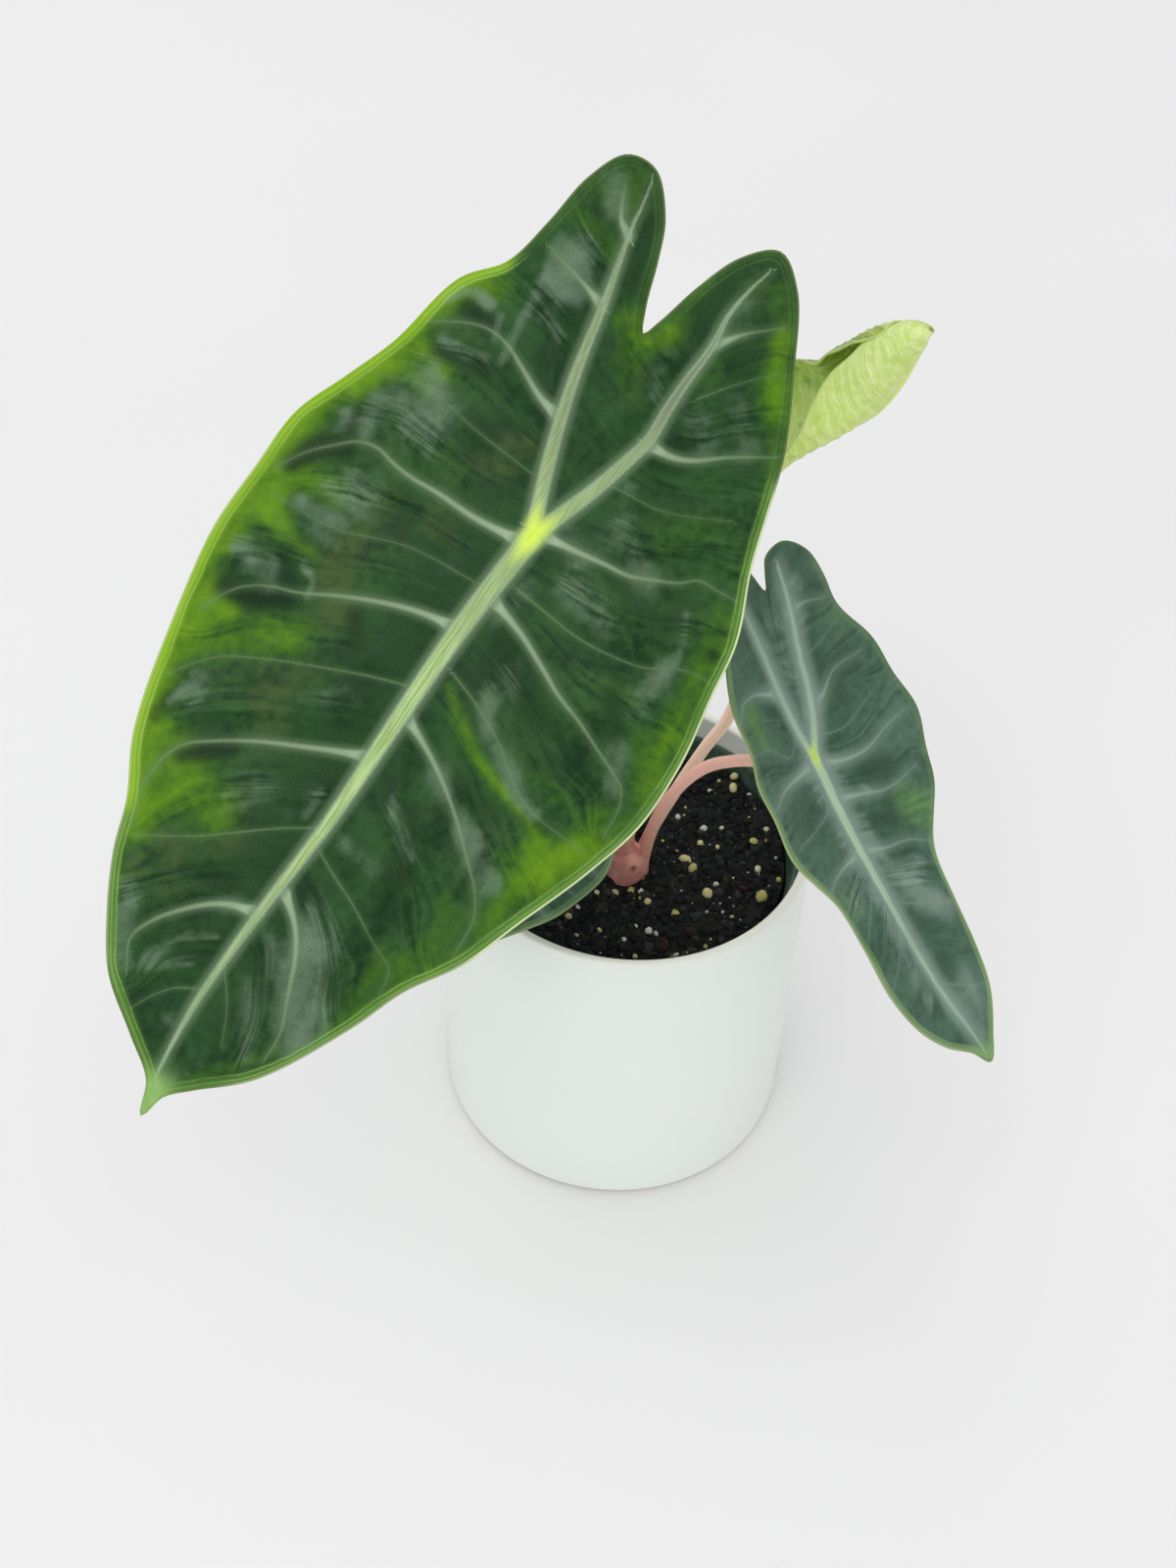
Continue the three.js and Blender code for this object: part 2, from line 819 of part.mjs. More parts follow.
// A point of one half, at a distance from the midrib measured round the roll
// and a height over the blade's face, which is the inside of the roll.
function rolledPoint(leaf, frame, half, along, distance, height) {
  const radius = rollRadius(leaf, half, along);
  const bend = radius - height;
  const { depth, at, towardsStalk, towardsTip } = leaf.belly;
  const belly = depth * Math.exp(-(((along - at) / (along > at ? towardsTip : towardsStalk)) ** 2));
  const sideways = half.side * bend * Math.sin(distance / radius);
  const upward = radius - bend * Math.cos(distance / radius) - belly;
  const turn = radians(leaf.turn);
  return placed(
    frame,
    along,
    sideways * Math.cos(turn) - upward * Math.sin(turn),
    upward * Math.cos(turn) + sideways * Math.sin(turn),
  );
}

function rolledHalf(leaf, frame, half) {
  const rows = leaf.sections.length;
  const { columns } = leaf;
  const points = [];
  for (const height of [-bladeThickness / 2, bladeThickness / 2]) {
    for (const [along, inner, near, far] of leaf.sections) {
      const margin = half === leaf.near ? near : far;
      for (let k = 0; k < columns; k += 1) {
        const distance = THREE.MathUtils.lerp(inner, margin, k / (columns - 1));
        points.push(rolledPoint(leaf, frame, half, along, distance, height));
      }
    }
  }
  const face = rows * columns;
  const at = (i, k) => i * columns + k;
  const faces = [];
  const add = (a, b, c) => faces.push(half.side > 0 ? [a, b, c] : [a, c, b]);
  for (let i = 0; i + 1 < rows; i += 1) {
    for (let k = 0; k + 1 < columns; k += 1) {
      for (const [a, b, c] of [
        [at(i, k), at(i + 1, k), at(i + 1, k + 1)],
        [at(i, k), at(i + 1, k + 1), at(i, k + 1)],
      ]) {
        add(a, c, b);
        add(face + a, face + b, face + c);
      }
    }
  }
  const rim = [];
  for (let i = 0; i + 1 < rows; i += 1) {
    rim.push([at(i, 0), at(i + 1, 0)], [at(i + 1, columns - 1), at(i, columns - 1)]);
  }
  for (let k = 0; k + 1 < columns; k += 1) {
    rim.push([at(0, k + 1), at(0, k)], [at(rows - 1, k), at(rows - 1, k + 1)]);
  }
  for (const [a, b] of rim) {
    add(a, b, face + b);
    add(a, face + b, face + a);
  }
  return toSolid(closedMesh(points, faces));
}

function rolledSolid(leaf, stalkTop) {
  const frame = leafFrame(leaf);
  const { from, to, end } = leaf.midrib;
  const under = -bladeThickness / 2;
  const keel = [];
  for (let i = 0; i <= 10; i += 1) {
    keel.push(rolledPoint(leaf, frame, leaf.near, (end * i) / 10, 0, under).toArray());
  }
  const midrib = sweptStalk(smoothPath(keel), (t) => THREE.MathUtils.lerp(from, to, t) / 2, 0, 1, 12, 8);
  let body = toSolid(midrib);
  for (const half of [leaf.near, leaf.far]) {
    const placeUnder = (p, offAlong, offAcross, down) =>
      rolledPoint(leaf, frame, half, p.x + offAlong, half.side * (p.y + offAcross), under - down);
    body = body.add(rolledHalf(leaf, frame, half));
    for (const vein of leaf.veins) {
      const path = vein.map(([along, distance]) => [along, half.side * distance]);
      body = body.add(ribSolid({ path, from: 1.6, deep: 0.6, sunk: 0.8, step: 4.6 }, placeUnder));
    }
  }
  return body.subtract(stalkTop);
}

// Materials and assembly

const looks = {
  coverPot: { color: 0xe3e8e3, roughness: 0.3, metalness: 0 },
  nurseryPot: { color: 0x1d3a2c, roughness: 0.5, metalness: 0 },
  soil: { color: 0x17120f, roughness: 1, metalness: 0 },
  stalk: { color: 0xcf9a8c, roughness: 0.5, metalness: 0 },
  crown: { color: 0xb07a72, roughness: 0.6, metalness: 0 },
  darkBlade: { color: 0x1f4a32, roughness: 0.42, metalness: 0 },
  greyBlade: { color: 0x3f6450, roughness: 0.5, metalness: 0 },
  youngBlade: { color: 0xa9c765, roughness: 0.5, metalness: 0 },
};

const plant = new THREE.Group();

function addPiece(name, geometry, look) {
  const mesh = new THREE.Mesh(geometry, new THREE.MeshStandardMaterial(looks[look]));
  mesh.name = name;
  plant.add(mesh);
}

addPiece("cover_pot", coverPotGeometry(), "coverPot");
addPiece("nursery_pot", toGeometry(nurseryPotSolid()), "nurseryPot");
addPiece("soil", toGeometry(soilSolid()), "soil");
addPiece("crown", toGeometry(crownSolid()), "crown");
for (const name of Object.keys(stalks)) {
  addPiece(`stalk_${name}`, stalkGeometry(name), "stalk");
}
addPiece("blade_large", toGeometry(bladeSolid(largeLeaf, stalkSocket("large"))), "darkBlade");
addPiece("blade_right", toGeometry(bladeSolid(rightLeaf, stalkSocket("right"))), "greyBlade");
addPiece("blade_low", toGeometry(bladeSolid(lowLeaf, stalkSocket("low"))), "greyBlade");
addPiece("blade_rolled", toGeometry(rolledSolid(rolledLeaf, stalkSocket("rolled"))), "youngBlade");

export default plant;
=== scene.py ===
# %% [markdown]
# # A potted aroid with pink stalks
#
# The plant is an aroid with arrow-shaped leaves on pink stalks. It grows in a thin dark
# green nursery pot, which stands inside a straight white glazed cover pot.
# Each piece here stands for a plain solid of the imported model, keeps that solid's form, and
# adds what the eye looks for: veins, quilting, colour and fine edges.

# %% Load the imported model
from math import radians

import bmesh
import bpy
import numpy as np
from mathutils import Matrix, Vector


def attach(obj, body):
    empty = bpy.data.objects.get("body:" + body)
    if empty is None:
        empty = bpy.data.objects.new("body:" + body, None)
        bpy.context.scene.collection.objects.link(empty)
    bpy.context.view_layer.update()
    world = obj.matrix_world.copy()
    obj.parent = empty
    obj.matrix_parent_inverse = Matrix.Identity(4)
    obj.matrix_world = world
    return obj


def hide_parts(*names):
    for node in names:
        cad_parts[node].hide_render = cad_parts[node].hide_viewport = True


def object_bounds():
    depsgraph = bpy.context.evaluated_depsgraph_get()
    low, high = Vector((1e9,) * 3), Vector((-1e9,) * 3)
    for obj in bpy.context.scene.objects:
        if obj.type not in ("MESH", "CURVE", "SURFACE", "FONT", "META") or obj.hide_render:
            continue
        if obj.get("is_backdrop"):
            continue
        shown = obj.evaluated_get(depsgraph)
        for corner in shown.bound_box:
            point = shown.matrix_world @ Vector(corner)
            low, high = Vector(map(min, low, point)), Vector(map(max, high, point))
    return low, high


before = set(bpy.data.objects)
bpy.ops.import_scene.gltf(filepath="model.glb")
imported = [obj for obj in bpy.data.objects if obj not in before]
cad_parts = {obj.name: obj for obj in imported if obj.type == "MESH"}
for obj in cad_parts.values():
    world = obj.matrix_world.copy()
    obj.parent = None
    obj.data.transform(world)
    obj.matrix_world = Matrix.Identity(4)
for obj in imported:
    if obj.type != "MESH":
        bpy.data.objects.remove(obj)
cad_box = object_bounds()
print("solids in the packed model:", ", ".join(sorted(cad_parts)))

# %% [markdown]
# ## Camera
#
# The picture was taken from in front and above, with a slight tilt of the camera. The place
# below comes from the ellipses of the pot's rim and foot. A camera looks along its own -Z,
# so its axes are written down from the direction of view and the tilt.

# %% Camera
MM = 0.001
CAMERA_PLACE = (-15.28, -525.8, 700.0)
CAMERA_DIP, CAMERA_TILT = 46.5, 3.68
CAMERA_LENS, PICTURE_HEIGHT = 54, 36


def place_camera(place_mm, dip, tilt):
    """Stands the camera at a place, looking along +Y and down by dip degrees, turned by tilt
    about the line of sight. The lens is in millimetres on a 36 mm picture height."""
    forward = np.array([0, np.cos(radians(dip)), -np.sin(radians(dip))])
    level = np.array([1.0, 0, 0])
    upright = np.cross(level, forward)
    c, s = np.cos(radians(tilt)), np.sin(radians(tilt))
    right, up = c * level + s * upright, c * upright - s * level
    data = bpy.data.cameras.new("camera")
    data.lens, data.sensor_width, data.clip_end = CAMERA_LENS, PICTURE_HEIGHT, 50
    camera = bpy.data.objects.new("camera", data)
    turn = Matrix(np.column_stack([right, up, -forward]).tolist()).to_4x4()
    camera.matrix_world = Matrix.Translation(Vector(place_mm) * MM) @ turn
    bpy.context.scene.collection.objects.link(camera)
    bpy.context.scene.camera = camera
    return camera


camera = place_camera(CAMERA_PLACE, CAMERA_DIP, CAMERA_TILT)
print("camera stands", round(camera.location.z, 3), "m above the floor")

# %% [markdown]
# ## Light
#
# The picture is bright and almost without shadows: a white room with a large window behind the
# photographer. An even white surround does most of the work. One broad panel at the front
# throws its shadows behind the plant, out of sight, and a weak one behind it gives the leaves
# their soft shine. The plain view transform keeps the whites white and the greens as mixed.

# %% Light
ROOM_BRIGHTNESS = 0.82
MIDDLE_OF_PLANT = Vector((0, 0, 0.15))

scene = bpy.context.scene
scene.view_settings.view_transform = "Standard"
world = bpy.data.worlds.new("white_room")
world.use_nodes = True
world.node_tree.nodes["Background"].inputs["Color"].default_value = (1.0, 1.0, 1.0, 1.0)
world.node_tree.nodes["Background"].inputs["Strength"].default_value = ROOM_BRIGHTNESS
scene.world = world


def light_panel(name, place, size, power):
    """A square panel of soft light that faces the middle of the plant."""
    data = bpy.data.lights.new(name, "AREA")
    data.size, data.energy = size, power
    panel = bpy.data.objects.new(name, data)
    turn = (MIDDLE_OF_PLANT - Vector(place)).to_track_quat("-Z", "Y").to_matrix().to_4x4()
    panel.matrix_world = Matrix.Translation(place) @ turn
    scene.collection.objects.link(panel)
    return panel


panels = [
    light_panel("rear_panel", (-1.3, 1.2, 2.2), size=2.0, power=7),
    light_panel("front_panel", (-0.35, -1.7, 2.2), size=2.2, power=21),
]
print(len(panels), "light panels")

# %% [markdown]
# ## Mixing paint
#
# Every finish is a tree of nodes. Two small classes let a finish be written like a sum. A
# signal is what a node gives out, and adding or multiplying signals adds a Math node. A
# finish keeps the colour mixed so far, and each coat of paint goes over it where a signal
# says. Plain numbers and colours are set straight on the sockets. Colours are written as
# given, 0 to 255.

# %% Paint helpers
def tint(red, green, blue):
    """A colour given from 0 to 255, as the linear colour that a shader wants."""
    part = np.array([red, green, blue]) / 255
    linear = np.where(part <= 0.04045, part / 12.92, ((part + 0.055) / 1.055) ** 2.4)
    return (*linear.tolist(), 1.0)


class Signal:
    """What a node gives out: a number, a colour or a place for every spot of a surface."""

    def __init__(self, finish, socket):
        self.finish, self.socket = finish, socket

    def math(self, operation, other=0.0):
        return self.finish.add("ShaderNodeMath", {0: self, 1: other}, operation=operation)

    def __add__(self, other):
        return self.math("ADD", other)

    def __sub__(self, other):
        return self.math("SUBTRACT", other)

    def __mul__(self, other):
        return self.math("MULTIPLY", other)

    def __abs__(self):
        return self.math("ABSOLUTE")

    def centred(self, share):
        """A pattern from 0 to 1 moved to lie about 0, times a share."""
        return (self - 0.5) * share

    def step(self, low, high, out_low=0.0, out_high=1.0):
        """Goes smoothly from out_low to out_high as the signal passes from low to high."""
        inputs = {0: self, 1: low, 2: high, 3: out_low, 4: out_high}
        return self.finish.add("ShaderNodeMapRange", inputs, interpolation_type="SMOOTHSTEP")

    def part(self, axis):
        return self.finish.add("ShaderNodeSeparateXYZ", {"Vector": self}, axis)


class Finish:
    """A material, and the few kinds of node that the finishes of this plant are mixed from."""

    def __init__(self, name):
        self.material = bpy.data.materials.new(name)
        self.material.use_nodes = True
        self.tree = self.material.node_tree
        self.colour = None

    def feed(self, socket, value):
        if isinstance(value, Signal):
            self.tree.links.new(value.socket, socket)
        else:
            socket.default_value = value

    def add(self, kind, inputs, output=0, **settings):
        node = self.tree.nodes.new(kind)
        for key, value in settings.items():
            setattr(node, key, value)
        for key, value in inputs.items():
            self.feed(node.inputs[key], value)
        return Signal(self, node.outputs[output])

    def read(self, name, output="Fac"):
        """A number, or with output "Vector" three, that a piece keeps under a name on its corners."""
        return self.add("ShaderNodeAttribute", {}, output, attribute_name=name)

    def place(self, source="object", stretch=(1, 1, 1)):
        """Coordinates in millimetres: the object's own, or those of a named attribute."""
        if source == "object":
            point = self.add("ShaderNodeTexCoord", {}, "Object")
            stretch = tuple(share / MM for share in stretch)
        else:
            point = self.read(source, "Vector")
        return self.add("ShaderNodeMapping", {"Vector": point, "Scale": stretch})

    def noise(self, point, scale, detail=3.0, rough=0.5):
        inputs = {"Vector": point, "Scale": scale, "Detail": detail, "Roughness": rough}
        return self.add("ShaderNodeTexNoise", inputs, "Fac")

    def mix(self, amount, first, second, how="MIX"):
        """Goes from the first colour to the second as the amount goes from 0 to 1."""
        inputs = {0: amount, 6: first, 7: second}
        return self.add("ShaderNodeMix", inputs, 2, data_type="RGBA", blend_type=how)

    def paint(self, amount, colour, how="MIX"):
        """Lays a coat over the colour mixed so far, as thickly as the amount says."""
        self.colour = self.mix(amount, self.colour, colour, how)

    def bump(self, height, depth_mm, strength):
        return self.add("ShaderNodeBump", {"Height": height, "Distance": depth_mm * MM, "Strength": strength})

    def done(self, **values):
        """Gives the shader its colour and the other values, and hands out the material."""
        shader = self.tree.nodes["Principled BSDF"]
        for key, value in {"Base_Color": self.colour, **values}.items():
            self.feed(shader.inputs[key.replace("_", " ")], value)
        return self.material


print("dark leaf green as a linear colour:", [round(v, 3) for v in tint(35, 66, 35)])

# %% [markdown]
# ## Floor
#
# The plant stands on one plain sheet of white paper, so the floor is a single large square.
# A broad, faint unevenness keeps it from looking computed.

# %% Floor
FLOOR_HALF_WIDTH = 6000.0


def floor_finish():
    f = Finish("white_paper")
    f.colour = f.mix(f.noise(f.place(), 0.004, 2), tint(232, 232, 232), tint(238, 238, 239))
    return f.done(Roughness=0.9, Specular_IOR_Level=0.1)


def link_mesh(name, corners, faces, material, smooth=True):
    """Puts corners in millimetres and a list of face arrays into a new mesh object at the origin."""
    mesh = bpy.data.meshes.new(name)
    rows = [row for group in faces for row in group.tolist()]
    mesh.from_pydata((np.asarray(corners) * MM).tolist(), [], rows)
    mesh.polygons.foreach_set("use_smooth", np.full(len(mesh.polygons), smooth))
    mesh.materials.append(material)
    mesh.update()
    piece = bpy.data.objects.new(name, mesh)
    scene.collection.objects.link(piece)
    return piece


square = np.array([[-1, -1, 0], [1, -1, 0], [1, 1, 0], [-1, 1, 0]]) * FLOOR_HALF_WIDTH
floor = link_mesh("floor", square, [np.array([[0, 1, 2, 3]])], floor_finish())
floor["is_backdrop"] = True
print("floor is", floor.dimensions.x, "m wide")

# %% [markdown]
# ## Surfaces on a grid
#
# Nearly every piece is a sheet of rows and columns, either open or closed round into a tube.
# One helper numbers the four corners of each cell, so a piece only has to say where its
# grid points lie. A turned piece carries a profile round the Z axis, and a stalk carries a
# circle along a path. Both end in poles that close them.

# %% Grid helpers
def grid_faces(rows, columns, wrap=False, start=0):
    """The four corners of each cell of a grid, row by row. Wrap joins the last column to the first."""
    row, column = np.meshgrid(np.arange(rows - 1), np.arange(columns - (not wrap)), indexing="ij")
    beside, above = (column + 1) % columns, row + 1
    cell = [(row, column), (row, beside), (above, beside), (above, column)]
    return start + np.stack([r * columns + c for r, c in cell], -1).reshape(-1, 4)


def fan(pole, ring, flip=False):
    """Triangles from one pole to a closed ring of corners."""
    pair = (np.roll(ring, -1), ring) if flip else (ring, np.roll(ring, -1))
    return np.stack([np.full(len(ring), pole), *pair], -1)


def closed_rings(rings, first, last):
    """Joins equal rings of corners into a tube, and closes each end with a pole at the point given."""
    rows, sides = rings.shape[:2]
    count, ring = rows * sides, np.arange(sides)
    corners = np.vstack([rings.reshape(-1, 3), [first], [last]])
    ends = [fan(count, ring, flip=True), fan(count + 1, count - sides + ring)]
    return corners, [grid_faces(rows, sides, wrap=True), *ends]


def joined(parts):
    """Puts several pairs of corners and faces together as one pair."""
    corners, faces, start = [], [], 0
    for part, groups in parts:
        corners.append(part)
        faces += [group + start for group in groups]
        start += len(part)
    return np.vstack(corners), faces


def turned(profile, sides):
    """Carries a profile of (radius, height) round Z, from the middle of the underside to the middle of
    the top or inside. The point at turn a is (radius cos a, radius sin a, height)."""
    profile = np.asarray(profile, float)
    angle = np.linspace(0, 2 * np.pi, sides, endpoint=False)
    radius, height = profile[1:-1, :1], profile[1:-1, 1:]
    rings = np.stack([radius * np.cos(angle), radius * np.sin(angle), height + 0 * angle], -1)
    return closed_rings(rings, (0, 0, profile[0, 1]), (0, 0, profile[-1, 1]))


SPAN_STEPS = 24


def smooth_path(points, count, closed=False):
    """Points at even steps along the curve through the given ones. Between two of them the curve is a
    cubic whose slopes weigh the neighbours by the square root of their distance, so it never loops."""
    points = np.asarray(points, float)
    if closed:
        knots = np.vstack([points[-1:], points, points[:2]])
    else:
        knots = np.vstack([2 * points[0] - points[1], points, 2 * points[-1] - points[-2]])
    before, start, end, after = knots[:-3], knots[1:-2], knots[2:-1], knots[3:]
    gap = np.maximum(np.linalg.norm(np.diff(knots, axis=0), axis=1) ** 0.5, 1e-6)[:, None]
    g0, g1, g2 = gap[:-2], gap[1:-1], gap[2:]
    leave = ((start - before) / g0 - (end - before) / (g0 + g1) + (end - start) / g1) * g1
    arrive = ((end - start) / g1 - (after - start) / (g1 + g2) + (after - end) / g2) * g1
    t = np.linspace(0, 1, SPAN_STEPS, endpoint=False)[:, None, None]
    curve = (2 * t**3 - 3 * t**2 + 1) * start + (t**3 - 2 * t**2 + t) * leave
    curve = curve + (3 * t**2 - 2 * t**3) * end + (t**3 - t**2) * arrive
    curve = curve.transpose(1, 0, 2).reshape(-1, points.shape[1])
    curve = np.vstack([curve, curve[:1] if closed else points[-1:]])
    run = np.concatenate([[0], np.cumsum(np.linalg.norm(np.diff(curve, axis=0), axis=1))])
    wanted = np.linspace(0, run[-1], count, endpoint=not closed)
    return np.column_stack([np.interp(wanted, run, column) for column in curve.T])


def ease(value, low, high):
    """0 below low, 1 above high, and a smooth rise between: 3x squared minus 2x cubed."""
    x = np.clip((value - low) / (high - low), 0, 1)
    return x * x * (3 - 2 * x)


def bell(distance, width):
    """e to the minus (distance / width) squared: 1 at no distance, falling to nothing beside it."""
    return np.exp(-((distance / width) ** 2))


def rounded_profile(points, steps=5):
    """A profile of (radius, height, rounding) with each inner corner rounded: a curve starts and ends
    the rounding's length away from the corner and bends towards it."""
    points = np.asarray(points, float)
    rounded = [points[:1, :2]]
    t = np.linspace(0, 1, steps + 1)[:, None]
    for before, corner, after in zip(points[:-2, :2], points[1:-1], points[2:, :2]):
        middle, round_off = corner[:2], corner[2]
        enter = middle + (before - middle) / np.linalg.norm(before - middle) * round_off
        leave = middle + (after - middle) / np.linalg.norm(after - middle) * round_off
        rounded.append((1 - t) ** 2 * enter + 2 * t * (1 - t) * middle + t**2 * leave)
    return np.vstack([*rounded, points[-1:, :2]])


def keep_numbers(piece, name, values):
    """Keeps one number, or one row of three, for every corner of a piece, for finishes to read."""
    values = np.asarray(values, np.float32)
    kind, field = ("FLOAT_VECTOR", "vector") if values.ndim == 2 else ("FLOAT", "value")
    piece.data.attributes.new(name, kind, "POINT").data.foreach_set(field, values.ravel())


def ride_and_replace(piece, slot, *nodes):
    """Fastens a piece to the one body and hides the solids that it stands for. The slot is not used."""
    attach(piece, "root")
    if nodes:
        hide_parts(*nodes)
    triangles = sum(len(polygon.vertices) - 2 for polygon in piece.data.polygons)
    print(f"{piece.name}: {triangles} triangles")


# %% [markdown]
# ## Cover pot
#
# The cover pot is slip-cast stoneware: a straight wall 3 mm thick with a rolled lip and a
# small step at the foot. It is turned from one profile, outside first and then down the
# inside. The glaze is a white with a breath of green, satin and a little uneven where it
# pooled, so the roughness wanders and a very shallow bump breaks the reflections. Over the
# lip it is painted a little lighter and warmer, a painted highlight along the rim, and just
# above the foot a darker band is painted, a painted contact shadow where the pot meets the floor.

# %% Cover pot
POT_HEIGHT = 128


def glaze_finish():
    f = Finish("white_glaze")
    at = f.place()
    height = at.part("Z")
    f.colour = f.mix(f.noise(at, 0.02, 3), tint(228, 235, 229), tint(235, 239, 234))
    # the lip is painted a little lighter and warmer: a painted highlight along the rim
    f.paint(height.step(POT_HEIGHT - 1.5, POT_HEIGHT), tint(240, 239, 232))
    # darker towards the bottom: a painted contact shadow where the pot meets the floor
    f.paint(height.step(0.2, 2.4, 1, 0), tint(186, 178, 164))
    gloss = f.noise(at, 0.05, 2).step(0.3, 0.7, 0.3, 0.42)
    ripple = f.bump(f.noise(at, 0.03, 1), 0.1, 0.15)
    return f.done(Roughness=gloss, Specular_IOR_Level=0.4, Normal=ripple)


cover_profile = rounded_profile([
    (0, 0, 0), (57.5, 0, 0.5), (60, 2.8, 1.2), (60, POT_HEIGHT, 1.45),
    (57, POT_HEIGHT, 1.45), (57, 4, 4), (0, 4, 0),
])
cover_pot = link_mesh("glazed_cover_pot", *turned(cover_profile, sides=192), glaze_finish())
ride_and_replace(cover_pot, "cover_glaze", "cover_pot")

# %% [markdown]
# ## Nursery pot
#
# The grower's pot is vacuum-formed from thin dark green plastic, with a stepped rim that
# stiffens it. Only a strip of it shows, between the leaves and the cover pot. It is turned
# like the cover pot; its six drain holes are cut by a Boolean that is then made part of the
# mesh.

# %% Nursery pot
DRAIN_HOLES, DRAIN_CIRCLE = 6, 31


def plastic_finish():
    f = Finish("green_plastic")
    at = f.place()
    dust = f.noise(at, 0.12, 4).step(0.45, 0.75)
    f.colour = f.mix(f.noise(at, 0.03, 2), tint(40, 62, 50), tint(60, 86, 72))
    f.paint(dust * 0.3, tint(104, 124, 110))
    return f.done(Roughness=dust.step(0, 1, 0.42, 0.62), Normal=f.bump(f.noise(at, 0.8, 2), 0.05, 0.4))


def keep_result(piece):
    """Replaces a piece's mesh by what its modifiers make of it, and removes the modifiers."""
    bpy.context.view_layer.update()
    result = bpy.data.meshes.new_from_object(piece.evaluated_get(bpy.context.evaluated_depsgraph_get()))
    piece.modifiers.clear()
    piece.data = result


def cut_and_keep(piece, cutter):
    """Takes the cutter out of the piece with an exact Boolean and keeps the result as plain mesh."""
    modifier = piece.modifiers.new("cut", "BOOLEAN")
    modifier.operation, modifier.solver, modifier.object = "DIFFERENCE", "EXACT", cutter
    keep_result(piece)
    bpy.data.objects.remove(cutter)


nursery_profile = rounded_profile([
    (0, 4.3, 0), (46, 4.3, 0.6), (54, 109.6, 0.3), (56.2, 110.1, 0.6), (56.2, 118.8, 0.55),
    (54.9, 118.8, 0.4), (52.8, 109.8, 0.5), (44.8, 6.3, 0.6), (0, 6.3, 0),
])
nursery_pot = link_mesh("thin_nursery_pot", *turned(nursery_profile, sides=160), plastic_finish())
drill, drill_faces = turned([(0, 1), (4, 1), (4, 9), (0, 9)], sides=24)
drills = joined([
    (drill + [DRAIN_CIRCLE * np.cos(turn), DRAIN_CIRCLE * np.sin(turn), 0], drill_faces)
    for turn in np.linspace(0, 2 * np.pi, DRAIN_HOLES, endpoint=False)
])
cut_and_keep(nursery_pot, link_mesh("drain_drills", *drills, nursery_pot.data.materials[0]))
ride_and_replace(nursery_pot, "nursery_plastic", "nursery_pot")

# %% [markdown]
# ## Potting mix
#
# The mix is dark peat with bark, and pale grains of perlite lie in it. The surface is a fine
# grid of rings over the same broad swells as the solid, with three sizes of clod from value
# noise: random heights on a square lattice, blended smoothly between. Loose crumbs, bark
# chips and perlite are separate small lumps that lie on it, each a rounded ball squeezed and
# turned at random.

# %% Potting mix surface
MIX_LEVEL, MIX_RADIUS, MIX_SIDES, MIX_RINGS = 112, 52.2, 300, 150
MIX_FLOOR, MIX_WALL, LATTICE = 6.6, [(44.4, 6.6), (51.6, 104)], 128


def lumps(flat, size, seed):
    """Smooth random heights, 0 to 1: numbers drawn for the corners of a square lattice, and each point
    takes the eased blend of its four corners."""
    table = np.random.default_rng(seed).random((LATTICE, LATTICE))
    cell = np.floor(flat / size).astype(int)
    part = ease(flat / size - cell, 0, 1)
    (x, y), (u, v) = (cell % LATTICE).T, part.T
    beside, above = (x + 1) % LATTICE, (y + 1) % LATTICE
    low = table[x, y] * (1 - u) + table[beside, y] * u
    high = table[x, above] * (1 - u) + table[beside, above] * u
    return low * (1 - v) + high * v


def mix_height(flat):
    """Height of the potting mix: the level, two crossing swells, and clods of three sizes."""
    x, y = flat.T
    swell = np.sin(0.21 * x + 0.7) * np.cos(0.17 * y - 0.4) + 0.6 * np.sin(0.34 * x - 0.29 * y)
    clods = 1.5 * lumps(flat, 4.2, 1) + 0.9 * lumps(flat, 1.9, 2) + 0.5 * lumps(flat, 0.9, 3)
    return MIX_LEVEL + swell + clods - 1.4


def mix_finish():
    f = Finish("peat_and_bark")
    at = f.place()
    grain = f.noise(at, 0.9, 6, 0.65)
    f.colour = f.mix(grain.step(0.35, 0.75), tint(28, 31, 33), tint(54, 56, 55))
    f.paint(f.noise(at, 0.22, 4).step(0.6, 0.78) * 0.3, tint(58, 44, 38))
    return f.done(Roughness=0.95, Specular_IOR_Level=0.12, Normal=f.bump(grain, 0.8, 0.9))


turn = np.linspace(0, 2 * np.pi, MIX_SIDES, endpoint=False)
circle = np.column_stack([np.cos(turn), np.sin(turn)])
mix_flat = np.linspace(MIX_RADIUS, MIX_RADIUS / MIX_RINGS, MIX_RINGS)[:, None, None] * circle
mix_top = np.dstack([mix_flat, mix_height(mix_flat.reshape(-1, 2)).reshape(MIX_RINGS, MIX_SIDES)])
mix_wall = [np.column_stack([circle * radius, np.full(MIX_SIDES, height)]) for radius, height in MIX_WALL]
mix_poles = (0, 0, MIX_FLOOR), (0, 0, mix_height(np.zeros((1, 2)))[0])
mix_shape = closed_rings(np.concatenate([mix_wall, mix_top]), *mix_poles)
potting_mix = link_mesh("potting_mix_surface", *mix_shape, mix_finish())
ride_and_replace(potting_mix, "potting_mix", "soil")

# %% [markdown]
# The grains that can be seen best are laid one by one where they lie on the real pot. The rest
# are scattered evenly over a ring of the mix by a seeded draw. A number kept on every corner
# of a grain lets one material tint each grain differently, from white to straw yellow.

# %% Perlite, crumbs and bark
SMALL_GRAINS, CRUMBS = 150, 2600
SMALL_SIZES, CRUMB_SIZES, BARK_SIZE = (0.2, 0.62), (0.35, 1.5), 2.0


def written_points(text):
    """Reads points that are written with commas in them and spaces between, in millimetres."""
    return np.array([word.split(",") for word in text.split()], float)


